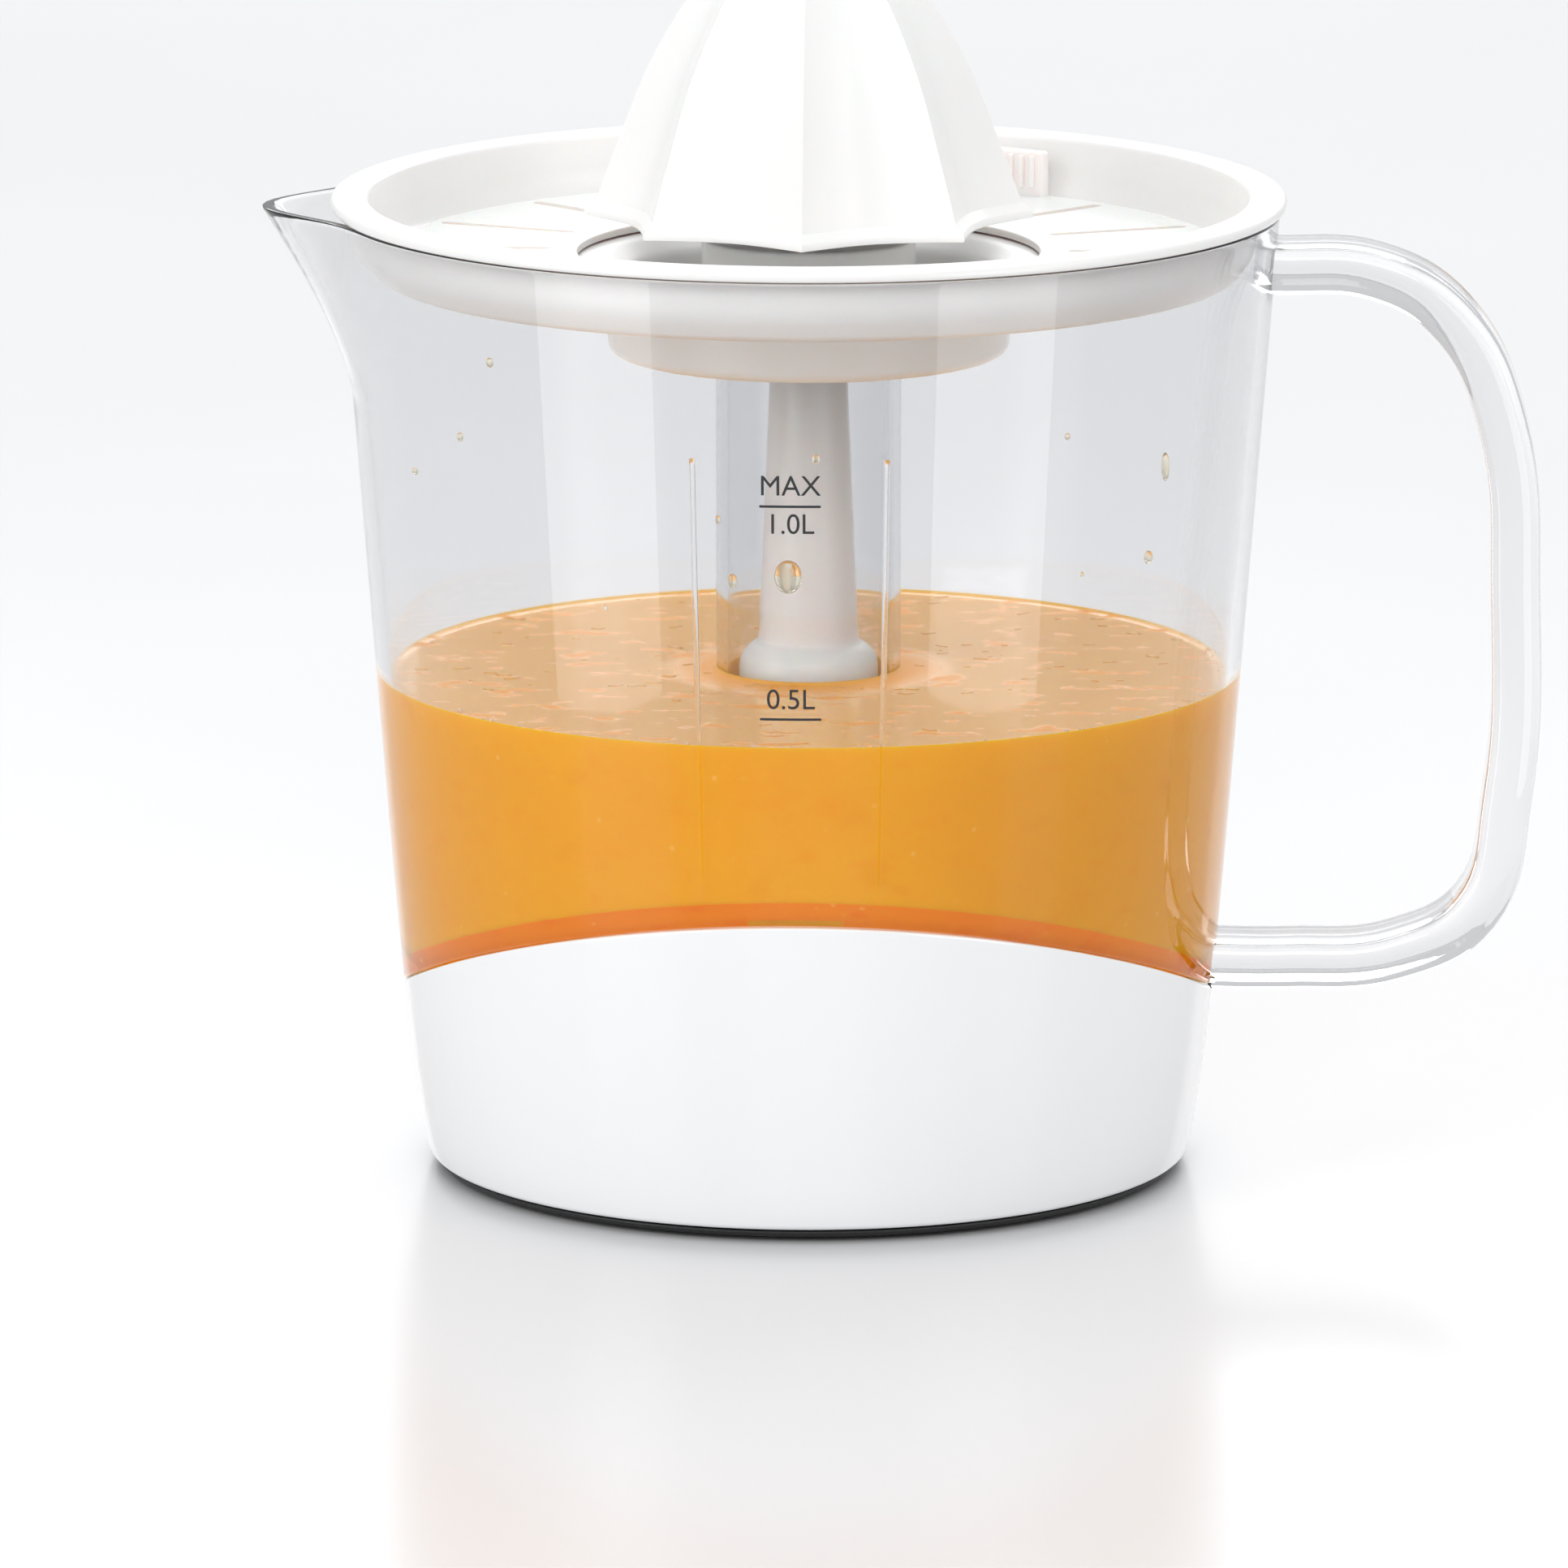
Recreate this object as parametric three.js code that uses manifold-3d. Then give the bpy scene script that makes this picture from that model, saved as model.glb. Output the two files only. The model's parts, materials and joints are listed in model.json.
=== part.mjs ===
// A citrus press juicer: a white motor base, a clear one-litre jug that nests in the base's
// arched rim, a strainer in the jug's mouth, and a spindle that turns two stacked cones.
// Millimetres, +Z up. The origin is on the spindle axis, in the plane of the table.
// The front, with the volume marks, faces -Y. The spout is at -X and the handle at +X.
import * as THREE from 'three';
import { mergeVertices } from 'three/addons/utils/BufferGeometryUtils.js';
import Module from 'manifold-3d';

const wasm = await Module();
wasm.setup();

// ---------------------------------------------------------------- driving dimensions
const GAP = 0.3;                 // air between two pieces that touch
const WALL = 2.2;                // moulded wall of the shell, the deck and the jug
const ROUND = 12;                // sides of a small turned piece
const TURNED = 32;               // sides of a large turned piece

const BODY_FOOT_R = 61.7;        // outside of the body, at the table
const BODY_FLARE = 2.4;          // quick flare just above the table ...
const BODY_FLARE_Z = 14;         // ... and the height over which it fades
const BODY_TAPER = 0.078;        // steady widening per millimetre of height

const SHELL_FOOT_Z = 2.2;        // bottom edge of the white shell
const RIM_SIDE_Z = 29.6;         // the shell's arched top edge, at the spout and handle
const RIM_RISE = 23.2;           // how much higher that edge is at the front and back
const RIM_POWER = 1.3;           // how full the arch is
const RIM_R = 67;                // body radius where the arch is measured
const LEDGE_Z = 22.6;            // ledge inside the shell that carries the deck
const DECK_Z = 29.4;             // top of the deck
const NECK_R = 12.4;             // tower neck on top of the deck's dome
const NECK_TOP_Z = 81.4;
const NECK_BORE_R = 7.7;

const JUG_FLOOR_Z = 29.8;        // underside of the jug
const JUG_RIM_Z = 158;
const JUG_STEP = WALL + GAP;     // the jug steps in by this to nest inside the shell
const JUG_DOME_GAP = 0.8;        // air between the deck's dome and the jug's
const TUBE_R = 15;               // the jug's central tube, round the spindle
const TUBE_WALL = 1.8;
const TUBE_TOP_Z = 150;
const SPOUT_REACH = 12.5;        // how far the spout's lip stands out of the wall
const SPOUT_START_Z = 128;
const SPOUT_HALF_ANGLE = 0.2;    // radians
const HANDLE_WIDTH = 17;
const HANDLE_DEPTH = 8;

const SHAFT_R = 4;
const SHAFT_FOOT_Z = 17;
const SHAFT_TOP_Z = 160;
const SHAFT_FLATS = 6.4;         // across the two flats that drive the shaft
const SPINDLE_TOP_Z = 172;
const SKIRT_R = 11.3;            // bell skirt that keeps juice off the tower neck
const SKIRT_Z = 80;
const HEX_R = 6;                 // corners of the spindle's six-sided top
const HEX_Z = 153.5;             // where the six-sided top starts

const STRAINER_FLOOR_Z = 149.4;
const STRAINER_THICK = 1.8;
const FLOOR_INNER_R = 37;        // the strainer's floor, between the well and the bowl
const FLOOR_OUTER_R = 67.5;
const CUP_Z = 134.6;             // bottom of the strainer's deep middle
const CUP_R = 32.5;
const CHIMNEY_R = 17.4;          // the strainer's sleeve over the jug's tube
const CHIMNEY_TOP_Z = 153.2;
const SLOTS = 16;
const RIDGES = 8;                // ridges on each cone
const RIDGE_DEPTH = 0.09;        // part of the radius

const COVER_Z = 0.9;             // underside of the black bottom cover
const COVER_TOP_Z = 3.2;
const HUB_TOP_Z = 6;             // spring seat in the middle of the cover
const FOOT_RING_R = 47;
const COVER_SCREW_RING_R = 54;
const PLATE_SCREW_RING_R = 40;
const GEAR_LEG_RING_R = 27;      // legs of the gear cover
const INLET_Z = 12;              // height of the cord's inlet
const INLET_R = 5.3;
const POST_R = 3.4;              // screw posts under the deck
const PILOT_R = 1.7;
const SCREW_HOLE_R = 1.8;
const FOOT_HOLE_R = 6.3;
const BUSH_HOLE_R = 3.3;         // holes that seat the rotor's bushes

const ROTOR_Y = -20;             // the motor's axis, in front of the spindle
const MOTOR_SCREW_X = 16;
const MOTOR_SCREW_Y = -26;
const CORE_X = 20;               // half width of the motor's core
const CORE_FRONT_Y = -54;
const CORE_BACK_Y = -9.5;
const CORE_Z = 11;
const CORE_HEIGHT = 14;
const PLATE_Z = 30.3;            // gear plate, over the motor
const PLATE_HEIGHT = 2;
const GEAR_COVER_Z = 49;
const coverScrewAngles = [45, 135, 225, 315];
const plateScrewAngles = [90, 210, 330];
const gearLegAngles = [45, 135, 225];
const PRESSURE_ANGLE = 20 * Math.PI / 180;
const FIRST_MODULE = 0.6;
const SECOND_MODULE = 0.7;
const MOTOR_TEETH = 8;
const IDLER_TEETH = 48;
const PINION_TEETH = 9;
const OUTPUT_TEETH = 54;

const SWITCH_PIVOT = [-28, 13.05];   // x and z of the lever's pivot
const BUTTON_FROM_PIVOT = 8;
const SPRING_R = 4.7;

// ---------------------------------------------------------------- makers
const bodyRadius = (z) => BODY_FOOT_R + BODY_FLARE * (1 - Math.exp(-z / BODY_FLARE_Z)) + BODY_TAPER * z;

const rimHeight = (y) => RIM_SIDE_Z + RIM_RISE * (Math.abs(y) / RIM_R) ** RIM_POWER;

const polar = (radius, degrees) => {
  const angle = degrees * Math.PI / 180;
  return [radius * Math.cos(angle), radius * Math.sin(angle)];
};

// Keeps positions only, joins shared corners, and drops triangles that have no area.
function cleaned(geometry) {
  const bare = geometry.clone();
  bare.deleteAttribute('normal');
  bare.deleteAttribute('uv');
  const merged = mergeVertices(bare, 1e-4);
  const index = merged.index.array;
  const kept = [];
  for (let i = 0; i < index.length; i += 3) {
    const [a, b, c] = index.subarray(i, i + 3);
    if (a !== b && b !== c && c !== a) kept.push(a, b, c);
  }
  merged.setIndex(kept);
  return merged;
}

function solid(geometry) {
  const g = cleaned(geometry);
  const vertProperties = new Float32Array(g.attributes.position.array);
  const triVerts = new Uint32Array(g.index.array);
  return new wasm.Manifold(new wasm.Mesh({ numProp: 3, vertProperties, triVerts }));
}

function surface(body) {
  const { vertProperties, triVerts } = body.getMesh();
  const geometry = new THREE.BufferGeometry();
  geometry.setAttribute('position', new THREE.BufferAttribute(vertProperties, 3));
  geometry.setIndex(new THREE.BufferAttribute(triVerts, 1));
  return geometry;
}

const joined = (bodies) => bodies.reduce((a, b) => a.add(b));

// A turned piece. The [radius, height] outline runs anticlockwise: up the outside.
function turned(outline, sides = ROUND, closed = false) {
  const points = outline.map(([r, z]) => new THREE.Vector2(r, z));
  if (closed) points.push(points[0].clone());
  return new THREE.LatheGeometry(points, sides).rotateX(Math.PI / 2);
}

const ring = (inner, outer, low, high, sides = ROUND) =>
  turned([[inner, low], [outer, low], [outer, high], [inner, high]], sides, true);

const rod = (radius, low, high, sides = ROUND) =>
  turned([[0, low], [radius, low], [radius, high], [0, high]], sides);

const at = (geometry, x, y, z = 0) => geometry.translate(x, y, z);

function block(low, high) {
  const size = high.map((v, i) => v - low[i]);
  const centre = high.map((v, i) => (v + low[i]) / 2);
  return new THREE.BoxGeometry(...size).translate(...centre);
}

function circlePath(x, y, radius, sides = ROUND) {
  const path = new THREE.Path();
  path.setFromPoints(Array.from({ length: sides }, (_, i) => {
    const angle = 2 * Math.PI * i / sides;
    return new THREE.Vector2(x + radius * Math.cos(angle), y + radius * Math.sin(angle));
  }));
  return path;
}

function plate(shape, low, high, holes = []) {
  shape.holes.push(...holes);
  const options = { depth: high - low, bevelEnabled: false, curveSegments: 12 };
  return new THREE.ExtrudeGeometry(shape, options).translate(0, 0, low);
}

const disc = (radius, sides) => new THREE.Shape(circlePath(0, 0, radius, sides).getPoints());

// Points down or up the body's wall, set in from its outside.
function wallPoints(fromZ, toZ, inset, steps) {
  return Array.from({ length: steps + 1 }, (_, i) => {
    const z = fromZ + (toZ - fromZ) * i / steps;
    return [bodyRadius(z) - inset, z];
  });
}

// The dome over the motor, from the deck up to the neck, moved out by an offset.
const domeCurve = new THREE.CubicBezierCurve(
  new THREE.Vector2(53.2, 31.5), new THREE.Vector2(47, 50),
  new THREE.Vector2(38, 68), new THREE.Vector2(NECK_R, 71.5));
function domePoints(offset, steps = 5) {
  return Array.from({ length: steps + 1 }, (_, i) => {
    const point = domeCurve.getPoint(i / steps);
    const along = domeCurve.getTangent(i / steps);
    return [point.x + along.y * offset, point.y - along.x * offset];
  });
}

// Everything above, or below, the arched line where the jug meets the shell.
function besideRim(above, lift) {
  const reach = 130;
  const steps = 20;
  const far = above ? 260 : -40;
  const shape = new THREE.Shape();
  shape.moveTo(-reach, far);
  for (let i = 0; i <= steps; i += 1) {
    const y = reach * (2 * i / steps - 1);
    shape.lineTo(y, rimHeight(y) + lift);
  }
  shape.lineTo(reach, far);
  const geometry = new THREE.ExtrudeGeometry(shape, { depth: 2 * reach, bevelEnabled: false });
  const turn = new THREE.Matrix4().makeBasis(
    new THREE.Vector3(0, 1, 0), new THREE.Vector3(0, 0, 1), new THREE.Vector3(1, 0, 0));
  return solid(geometry.applyMatrix4(turn).translate(-reach, 0, 0));
}

// Moves each point of a turned piece outwards by a rule of its angle, radius and height.
function pushed(geometry, rule) {
  const position = geometry.attributes.position;
  for (let i = 0; i < position.count; i += 1) {
    const [x, y, z] = [position.getX(i), position.getY(i), position.getZ(i)];
    const radius = Math.hypot(x, y);
    if (radius < 1e-6) continue;
    const scale = (radius + rule(Math.atan2(y, x), radius, z)) / radius;
    position.setXYZ(i, x * scale, y * scale, z);
  }
  return geometry;
}

function spoutPush(angle, radius, z) {
  if (radius < BODY_FOOT_R || z < SPOUT_START_Z) return 0;
  const fromSpout = Math.PI - Math.abs(angle);
  const rise = (z - SPOUT_START_Z) / (JUG_RIM_Z - SPOUT_START_Z);
  return SPOUT_REACH * rise ** 1.4 * Math.exp(-((fromSpout / SPOUT_HALF_ANGLE) ** 2));
}

const ridge = (angle, radius) => radius * RIDGE_DEPTH * Math.cos(RIDGES * angle);
const ridged = (geometry) => pushed(geometry, ridge);

// An involute spur gear's outline. Its teeth are thinned so that a pair runs with backlash.
function gearShape(teeth, module, addendum, dedendum, turn = 0, flankSteps = 1) {
  const pitch = module * teeth / 2;
  const base = pitch * Math.cos(PRESSURE_ANGLE);
  const tip = pitch + addendum * module;
  const root = pitch - dedendum * module;
  const involute = (angle) => Math.tan(angle) - angle;
  const thinning = 0.1 / pitch;
  const halfTooth = (radius) => {
    const angle = Math.acos(Math.min(1, base / Math.max(radius, base)));
    return Math.PI / (2 * teeth) + involute(PRESSURE_ANGLE) - involute(angle) - thinning;
  };
  const radii = Array.from({ length: flankSteps + 1 }, (_, i) => root + (tip - root) * i / flankSteps);
  const points = [];
  for (let tooth = 0; tooth < teeth; tooth += 1) {
    const middle = turn + 2 * Math.PI * tooth / teeth;
    const up = radii.map((r) => [r, middle - halfTooth(r)]);
    const down = [...radii].reverse().map((r) => [r, middle + halfTooth(r)]);
    for (const [r, angle] of [...up, ...down]) {
      points.push(new THREE.Vector2(r * Math.cos(angle), r * Math.sin(angle)));
    }
  }
  return new THREE.Shape(points);
}

// ---------------------------------------------------------------- base: shell, deck, cover
function baseShell() {
  const top = RIM_SIDE_Z + RIM_RISE + 4;
  const footR = bodyRadius(SHELL_FOOT_Z);
  const ledgeR = bodyRadius(LEDGE_Z) - WALL - 2.4;
  const outline = [
    [footR - WALL, SHELL_FOOT_Z], [footR - 1.3, SHELL_FOOT_Z], [footR - 0.4, SHELL_FOOT_Z + 0.8],
    ...wallPoints(SHELL_FOOT_Z + 2.2, top, 0, 4),
    ...wallPoints(top, LEDGE_Z, WALL, 2),
    [ledgeR, LEDGE_Z], [ledgeR, LEDGE_Z - 1.6],
    ...wallPoints(LEDGE_Z - 4, SHELL_FOOT_Z + 3, WALL, 1),
  ];
  const inlet = at(new THREE.CylinderGeometry(INLET_R, INLET_R, 12, ROUND), 0, bodyRadius(INLET_Z), INLET_Z);
  const shell = solid(turned(outline, TURNED, true)).subtract(besideRim(true, 0));
  return surface(shell.subtract(solid(inlet)));
}

function baseDeck() {
  const skirtZ = LEDGE_Z + GAP;
  const skirtR = bodyRadius(skirtZ) - WALL - GAP;
  const rimR = bodyRadius(DECK_Z) - WALL - GAP;
  const outline = [
    [skirtR - 1.8, skirtZ], [skirtR, skirtZ], [rimR, DECK_Z], [55, DECK_Z],
    ...domePoints(0), [NECK_R, NECK_TOP_Z - 5], [NECK_BORE_R + 1.2, NECK_TOP_Z - 4.8],
    [NECK_BORE_R + 1.2, NECK_TOP_Z], [NECK_BORE_R, NECK_TOP_Z], [NECK_BORE_R, 62],
    ...domePoints(-WALL).reverse().slice(1), [54, DECK_Z - WALL], [rimR - 2, DECK_Z - WALL],
  ];
  let deck = solid(turned(outline, TURNED, true));
  for (const degrees of coverScrewAngles) {
    const [x, y] = polar(COVER_SCREW_RING_R, degrees);
    const post = solid(at(rod(POST_R, COVER_TOP_Z + 0.4, DECK_Z - 1, 10), x, y));
    deck = deck.add(post).subtract(solid(at(rod(PILOT_R, 0, 20, 8), x, y)));
  }
  for (const degrees of plateScrewAngles) {
    const [x, y] = polar(PLATE_SCREW_RING_R, degrees);
    const post = solid(at(rod(POST_R, PLATE_Z + PLATE_HEIGHT + GAP, 51.5, 10), x, y));
    deck = deck.add(post).subtract(solid(at(rod(PILOT_R, 20, 46, 8), x, y)));
  }
  return surface(deck);
}

function bottomCover() {
  const edge = bodyRadius(COVER_TOP_Z) - WALL - 0.8;
  const lip = bodyRadius(SHELL_FOOT_Z) - 1.2;
  const outline = [
    [0, 0.5], [8, 0.5], [8.4, COVER_Z], [lip - 1, COVER_Z], [lip, COVER_Z + 0.5],
    [lip, SHELL_FOOT_Z - GAP], [edge, SHELL_FOOT_Z - GAP], [edge, 5.5],
    [edge - 1.4, 5.5], [edge - 1.4, COVER_TOP_Z], [6.4, COVER_TOP_Z], [6.4, HUB_TOP_Z], [0, HUB_TOP_Z],
  ];
  let cover = solid(turned(outline, TURNED));
  for (const degrees of [0, 90, 180, 270]) {
    cover = cover.subtract(solid(at(rod(FOOT_HOLE_R, 0, 8), ...polar(FOOT_RING_R, degrees))));
  }
  for (const degrees of coverScrewAngles) {
    const [x, y] = polar(COVER_SCREW_RING_R, degrees);
    cover = cover.subtract(solid(at(rod(SCREW_HOLE_R, 0, 8, 8), x, y)));
    cover = cover.subtract(solid(at(rod(3.3, 0, 2.4, 10), x, y)));
  }
  return surface(cover);
}

const foot = () => turned([[0, 0], [5.4, 0], [6, 0.6], [6, 3.5], [7.5, 3.5], [7.5, 4.7], [0, 4.7]]);

const coverScrew = () => turned([[0, 1.1], [2.9, 1.1], [2.9, 2.1], [1.4, 2.1], [1.4, 15], [0, 16]], 8);

function cordGrommet() {
  const wall = bodyRadius(INLET_Z);
  const outline = [
    [3.6, wall - 5.4], [5.9, wall - 5.4], [5.9, wall - 3.9], [4.9, wall - 3.9], [4.9, wall + 1.2],
    [6.8, wall + 1.2], [6.4, wall + 2.6], [3.6, wall + 3],
  ];
  return turned(outline, ROUND, true).rotateX(-Math.PI / 2).translate(0, 0, INLET_Z);
}

// ---------------------------------------------------------------- motor
const legSpan = [8, CORE_X];     // each leg of the core, from the middle outwards
const legsY = [-43.5, -31.5];    // where the coils sit along the legs

const motorScrewHoles = () =>
  [-MOTOR_SCREW_X, MOTOR_SCREW_X].map((x) => circlePath(x, MOTOR_SCREW_Y, SCREW_HOLE_R, 10));

function motorCore() {
  const [inner, outer] = legSpan;
  const bore = 10.4;
  const mouth = 2.5;
  const shape = new THREE.Shape();
  const slotAngle = Math.acos(inner / bore);
  const mouthAngle = Math.acos(mouth / bore);
  shape.moveTo(-outer, CORE_FRONT_Y);
  shape.lineTo(outer, CORE_FRONT_Y);
  shape.lineTo(outer, CORE_BACK_Y);
  shape.lineTo(mouth, CORE_BACK_Y);
  shape.absarc(0, ROTOR_Y, bore, mouthAngle, -slotAngle, true);
  shape.lineTo(inner, -45);
  shape.lineTo(-inner, -45);
  shape.absarc(0, ROTOR_Y, bore, Math.PI + slotAngle, Math.PI - mouthAngle, true);
  shape.lineTo(-mouth, CORE_BACK_Y);
  shape.lineTo(-outer, CORE_BACK_Y);
  return plate(shape, CORE_Z, CORE_Z + CORE_HEIGHT, motorScrewHoles());
}

// A rectangular tube round one leg of the core, along Y, grown on both sides by set amounts.
function legSleeve(side, inside, outside, fromY, toY) {
  const middle = side * (legSpan[0] + legSpan[1]) / 2;
  const halfLeg = (legSpan[1] - legSpan[0]) / 2;
  const z = CORE_Z + CORE_HEIGHT / 2;
  const frame = (grow) => [[-1, -1], [1, -1], [1, 1], [-1, 1]].map(([across, up]) =>
    new THREE.Vector2(middle + across * (halfLeg + grow), z + up * (CORE_HEIGHT / 2 + grow)));
  const shape = new THREE.Shape(frame(outside));
  shape.holes.push(new THREE.Path(frame(inside)));
  const sleeve = new THREE.ExtrudeGeometry(shape, { depth: toY - fromY, bevelEnabled: false });
  return sleeve.rotateX(Math.PI / 2).translate(0, toY, 0);
}

function bobbin(side) {
  const [low, high] = legsY;
  const spool = solid(legSleeve(side, GAP, 4.4, low, high));
  return surface(spool.subtract(solid(legSleeve(side, 1.1, 6, low + 1, high - 1))));
}

const winding = (side) => legSleeve(side, 1.4, 4.1, legsY[0] + 1.3, legsY[1] - 1.3);

function rotorShaft() {
  const pinion = plate(gearShape(MOTOR_TEETH, FIRST_MODULE, 1, 1.35, Math.PI / MOTOR_TEETH, 3), 33, 38.6);
  return surface(solid(rod(1.2, 6.5, 40, 12)).add(solid(pinion)));
}

const rotorMagnet = () => ring(1.5, 9.8, CORE_Z + 0.4, CORE_Z + CORE_HEIGHT - 0.4, 24);

function motorBracket() {
  const frontY = -31;
  const corners = [[-CORE_X, frontY], [CORE_X, frontY], [CORE_X, CORE_BACK_Y], [-CORE_X, CORE_BACK_Y]];
  const shape = new THREE.Shape(corners.map((corner) => new THREE.Vector2(...corner)));
  return plate(shape, CORE_Z - 2, CORE_Z - 0.5, [circlePath(0, ROTOR_Y, BUSH_HOLE_R), ...motorScrewHoles()]);
}

const motorScrew = () => turned([[0, 6.6], [2.8, 6.6], [2.8, 8.7], [1.4, 8.7], [1.4, 32], [0, 32.6]], 8);

// ---------------------------------------------------------------- gears
const firstCentres = FIRST_MODULE * (MOTOR_TEETH + IDLER_TEETH) / 2;
const secondCentres = SECOND_MODULE * (PINION_TEETH + OUTPUT_TEETH) / 2;
const idlerY = (secondCentres ** 2 - firstCentres ** 2 + ROTOR_Y ** 2) / (2 * ROTOR_Y);
const idlerX = Math.sqrt(secondCentres ** 2 - idlerY ** 2);

function gearPlate() {
  const holes = [
    circlePath(0, 0, 6.8), circlePath(0, ROTOR_Y, BUSH_HOLE_R), circlePath(idlerX, idlerY, SCREW_HOLE_R, 10),
    ...motorScrewHoles(),
    ...plateScrewAngles.map((d) => circlePath(...polar(PLATE_SCREW_RING_R, d), SCREW_HOLE_R, 8)),
    ...gearLegAngles.map((d) => circlePath(...polar(GEAR_LEG_RING_R, d), 1.3, 10)),
  ];
  return plate(disc(44, 32), PLATE_Z, PLATE_Z + PLATE_HEIGHT, holes);
}

const plateScrew = () => turned([[0, 28.1], [2.9, 28.1], [2.9, 30], [1.4, 30], [1.4, 43], [0, 44]], 8);

function gearCover() {
  const holes = [circlePath(0, 0, 5.2), circlePath(idlerX, idlerY, SCREW_HOLE_R, 10)];
  let cover = solid(plate(disc(34, 32), GEAR_COVER_Z, GEAR_COVER_Z + 1.6, holes));
  for (const degrees of gearLegAngles) {
    const leg = turned([[0, 30.8], [1, 30.8], [1, 32.6], [2.4, 32.6], [2.4, 49.5], [0, 49.5]], 12);
    cover = cover.add(solid(at(leg, ...polar(GEAR_LEG_RING_R, degrees))));
  }
  return surface(cover);
}

const idlerAxle = () => rod(1.5, PLATE_Z - 1.3, GEAR_COVER_Z + 2, 12);

// The big wheel meshes with the motor's pinion, and its own small pinion with the output gear.
function idlerGear() {
  const toRotor = Math.atan2(ROTOR_Y - idlerY, -idlerX);
  const toOutput = Math.atan2(-idlerY, -idlerX);
  const rotorTurn = meshTurn(Math.PI / MOTOR_TEETH, MOTOR_TEETH, IDLER_TEETH, toRotor);
  const wheel = plate(gearShape(IDLER_TEETH, FIRST_MODULE, 0.8, 1.2, rotorTurn), 34, 38);
  const pinion = plate(gearShape(PINION_TEETH, SECOND_MODULE, 1, 1.35, toOutput, 3), 37.5, 46);
  return surface(solid(wheel).add(solid(pinion)).subtract(solid(rod(SCREW_HOLE_R, 30, 50, 10))));
}

// The turn that puts a driven wheel's space on the driver's tooth. The line of centres runs
// from the driven wheel towards the driver, at the angle given.
function meshTurn(driverTurn, driverTeeth, drivenTeeth, towardsDriver) {
  const phase = (towardsDriver + Math.PI - driverTurn) * driverTeeth;
  return towardsDriver + (phase + Math.PI) / drivenTeeth;
}

function outputGear() {
  const towardsIdler = Math.atan2(idlerY, idlerX);
  const turn = meshTurn(towardsIdler - Math.PI, PINION_TEETH, OUTPUT_TEETH, towardsIdler);
  const wheel = solid(plate(gearShape(OUTPUT_TEETH, SECOND_MODULE, 0.8, 1.2, turn), 40, 45));
  const hub = solid(rod(7.4, 39, 48, 20));
  const flats = SHAFT_FLATS / 2 + GAP;
  const round = solid(rod(SHAFT_R + GAP, 30, 50, 20));
  const bore = round.intersect(solid(block([-9, -flats, 20], [9, flats, 60])));
  return surface(wheel.add(hub).subtract(bore));
}

// ---------------------------------------------------------------- spindle and press switch
function driveShaft() {
  const outline = [
    [0, SHAFT_FOOT_Z], [SHAFT_R - 1, SHAFT_FOOT_Z], [SHAFT_R, SHAFT_FOOT_Z + 1],
    [SHAFT_R, 56.8], [SHAFT_R - 0.9, 56.8], [SHAFT_R - 0.9, 58.6], [SHAFT_R, 58.6],
    [SHAFT_R, SHAFT_TOP_Z], [0, SHAFT_TOP_Z],
  ];
  const half = SHAFT_FLATS / 2;
  const beside = (side) => solid(block([-9, side > 0 ? half : -9, 36], [9, side > 0 ? 9 : -half, 53]));
  return surface(solid(turned(outline, 20)).subtract(beside(1)).subtract(beside(-1)));
}

function retainingClip() {
  const shape = new THREE.Shape();
  const [inner, outer, mouth] = [SHAFT_R - 0.6, 6.6, 0.35];
  shape.absarc(0, 0, outer, mouth, -mouth, false);
  shape.absarc(0, 0, inner, -mouth * 2, mouth * 2, true);
  return plate(shape, 57.2, 58.2);
}

function spindleTube() {
  const bore = SHAFT_R + GAP;
  const outline = [
    [SKIRT_R - 1.4, SKIRT_Z], [SKIRT_R, SKIRT_Z], [SKIRT_R, 83.2], [SKIRT_R - 0.4, 84.8],
    [SKIRT_R - 1.4, 86], [8.6, 86.8], [8.1, 88], [6.3, 130], [HEX_R, HEX_Z],
    [HEX_R, SPINDLE_TOP_Z - 1], [HEX_R - 1, SPINDLE_TOP_Z], [0, SPINDLE_TOP_Z],
    [0, SHAFT_TOP_Z + GAP], [bore, SHAFT_TOP_Z + GAP], [bore, 85.4], [SKIRT_R - 2.2, 85.4],
    [SKIRT_R - 1.4, 84.4],
  ];
  const round = rod(20, SKIRT_Z - 1, HEX_Z);
  const sixSided = rod(HEX_R, HEX_Z - 1, SPINDLE_TOP_Z + 1, 6);
  return surface(solid(turned(outline, 24, true)).intersect(solid(round).add(solid(sixSided))));
}

const upperBush = () => ring(SHAFT_R + GAP, NECK_BORE_R - GAP, 63, 75, 20);
const lowerBush = () => turned([
  [SHAFT_R + GAP, 28.5], [8, 28.5], [8, 30], [6.5, 30], [6.5, 34.5], [SHAFT_R + GAP, 34.5],
], 20, true);
const rotorBushUpper = () => turned([
  [1.5, 28.4], [4.4, 28.4], [4.4, 30], [3, 30], [3, 32.3], [1.5, 32.3],
], ROUND, true);
const rotorBushLower = () => turned([
  [1.5, 7.2], [4.4, 7.2], [4.4, 8.7], [3, 8.7], [3, 10.8], [1.5, 10.8],
], ROUND, true);
const shaftSeal = () => turned([
  [SHAFT_R + 0.5, 77], [NECK_BORE_R - GAP, 77], [NECK_BORE_R - GAP, 80.6], [6.2, 80.6],
  [5.4, 78.6], [SHAFT_R + 0.5, 80.2],
], 20, true);

const plunger = () => turned([
  [0, 13.7], [8, 13.7], [8, 15.2], [5.6, 15.4], [5.6, 20], [4.6, 20], [4.6, 16.6], [0, 16.6],
], 24);

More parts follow.
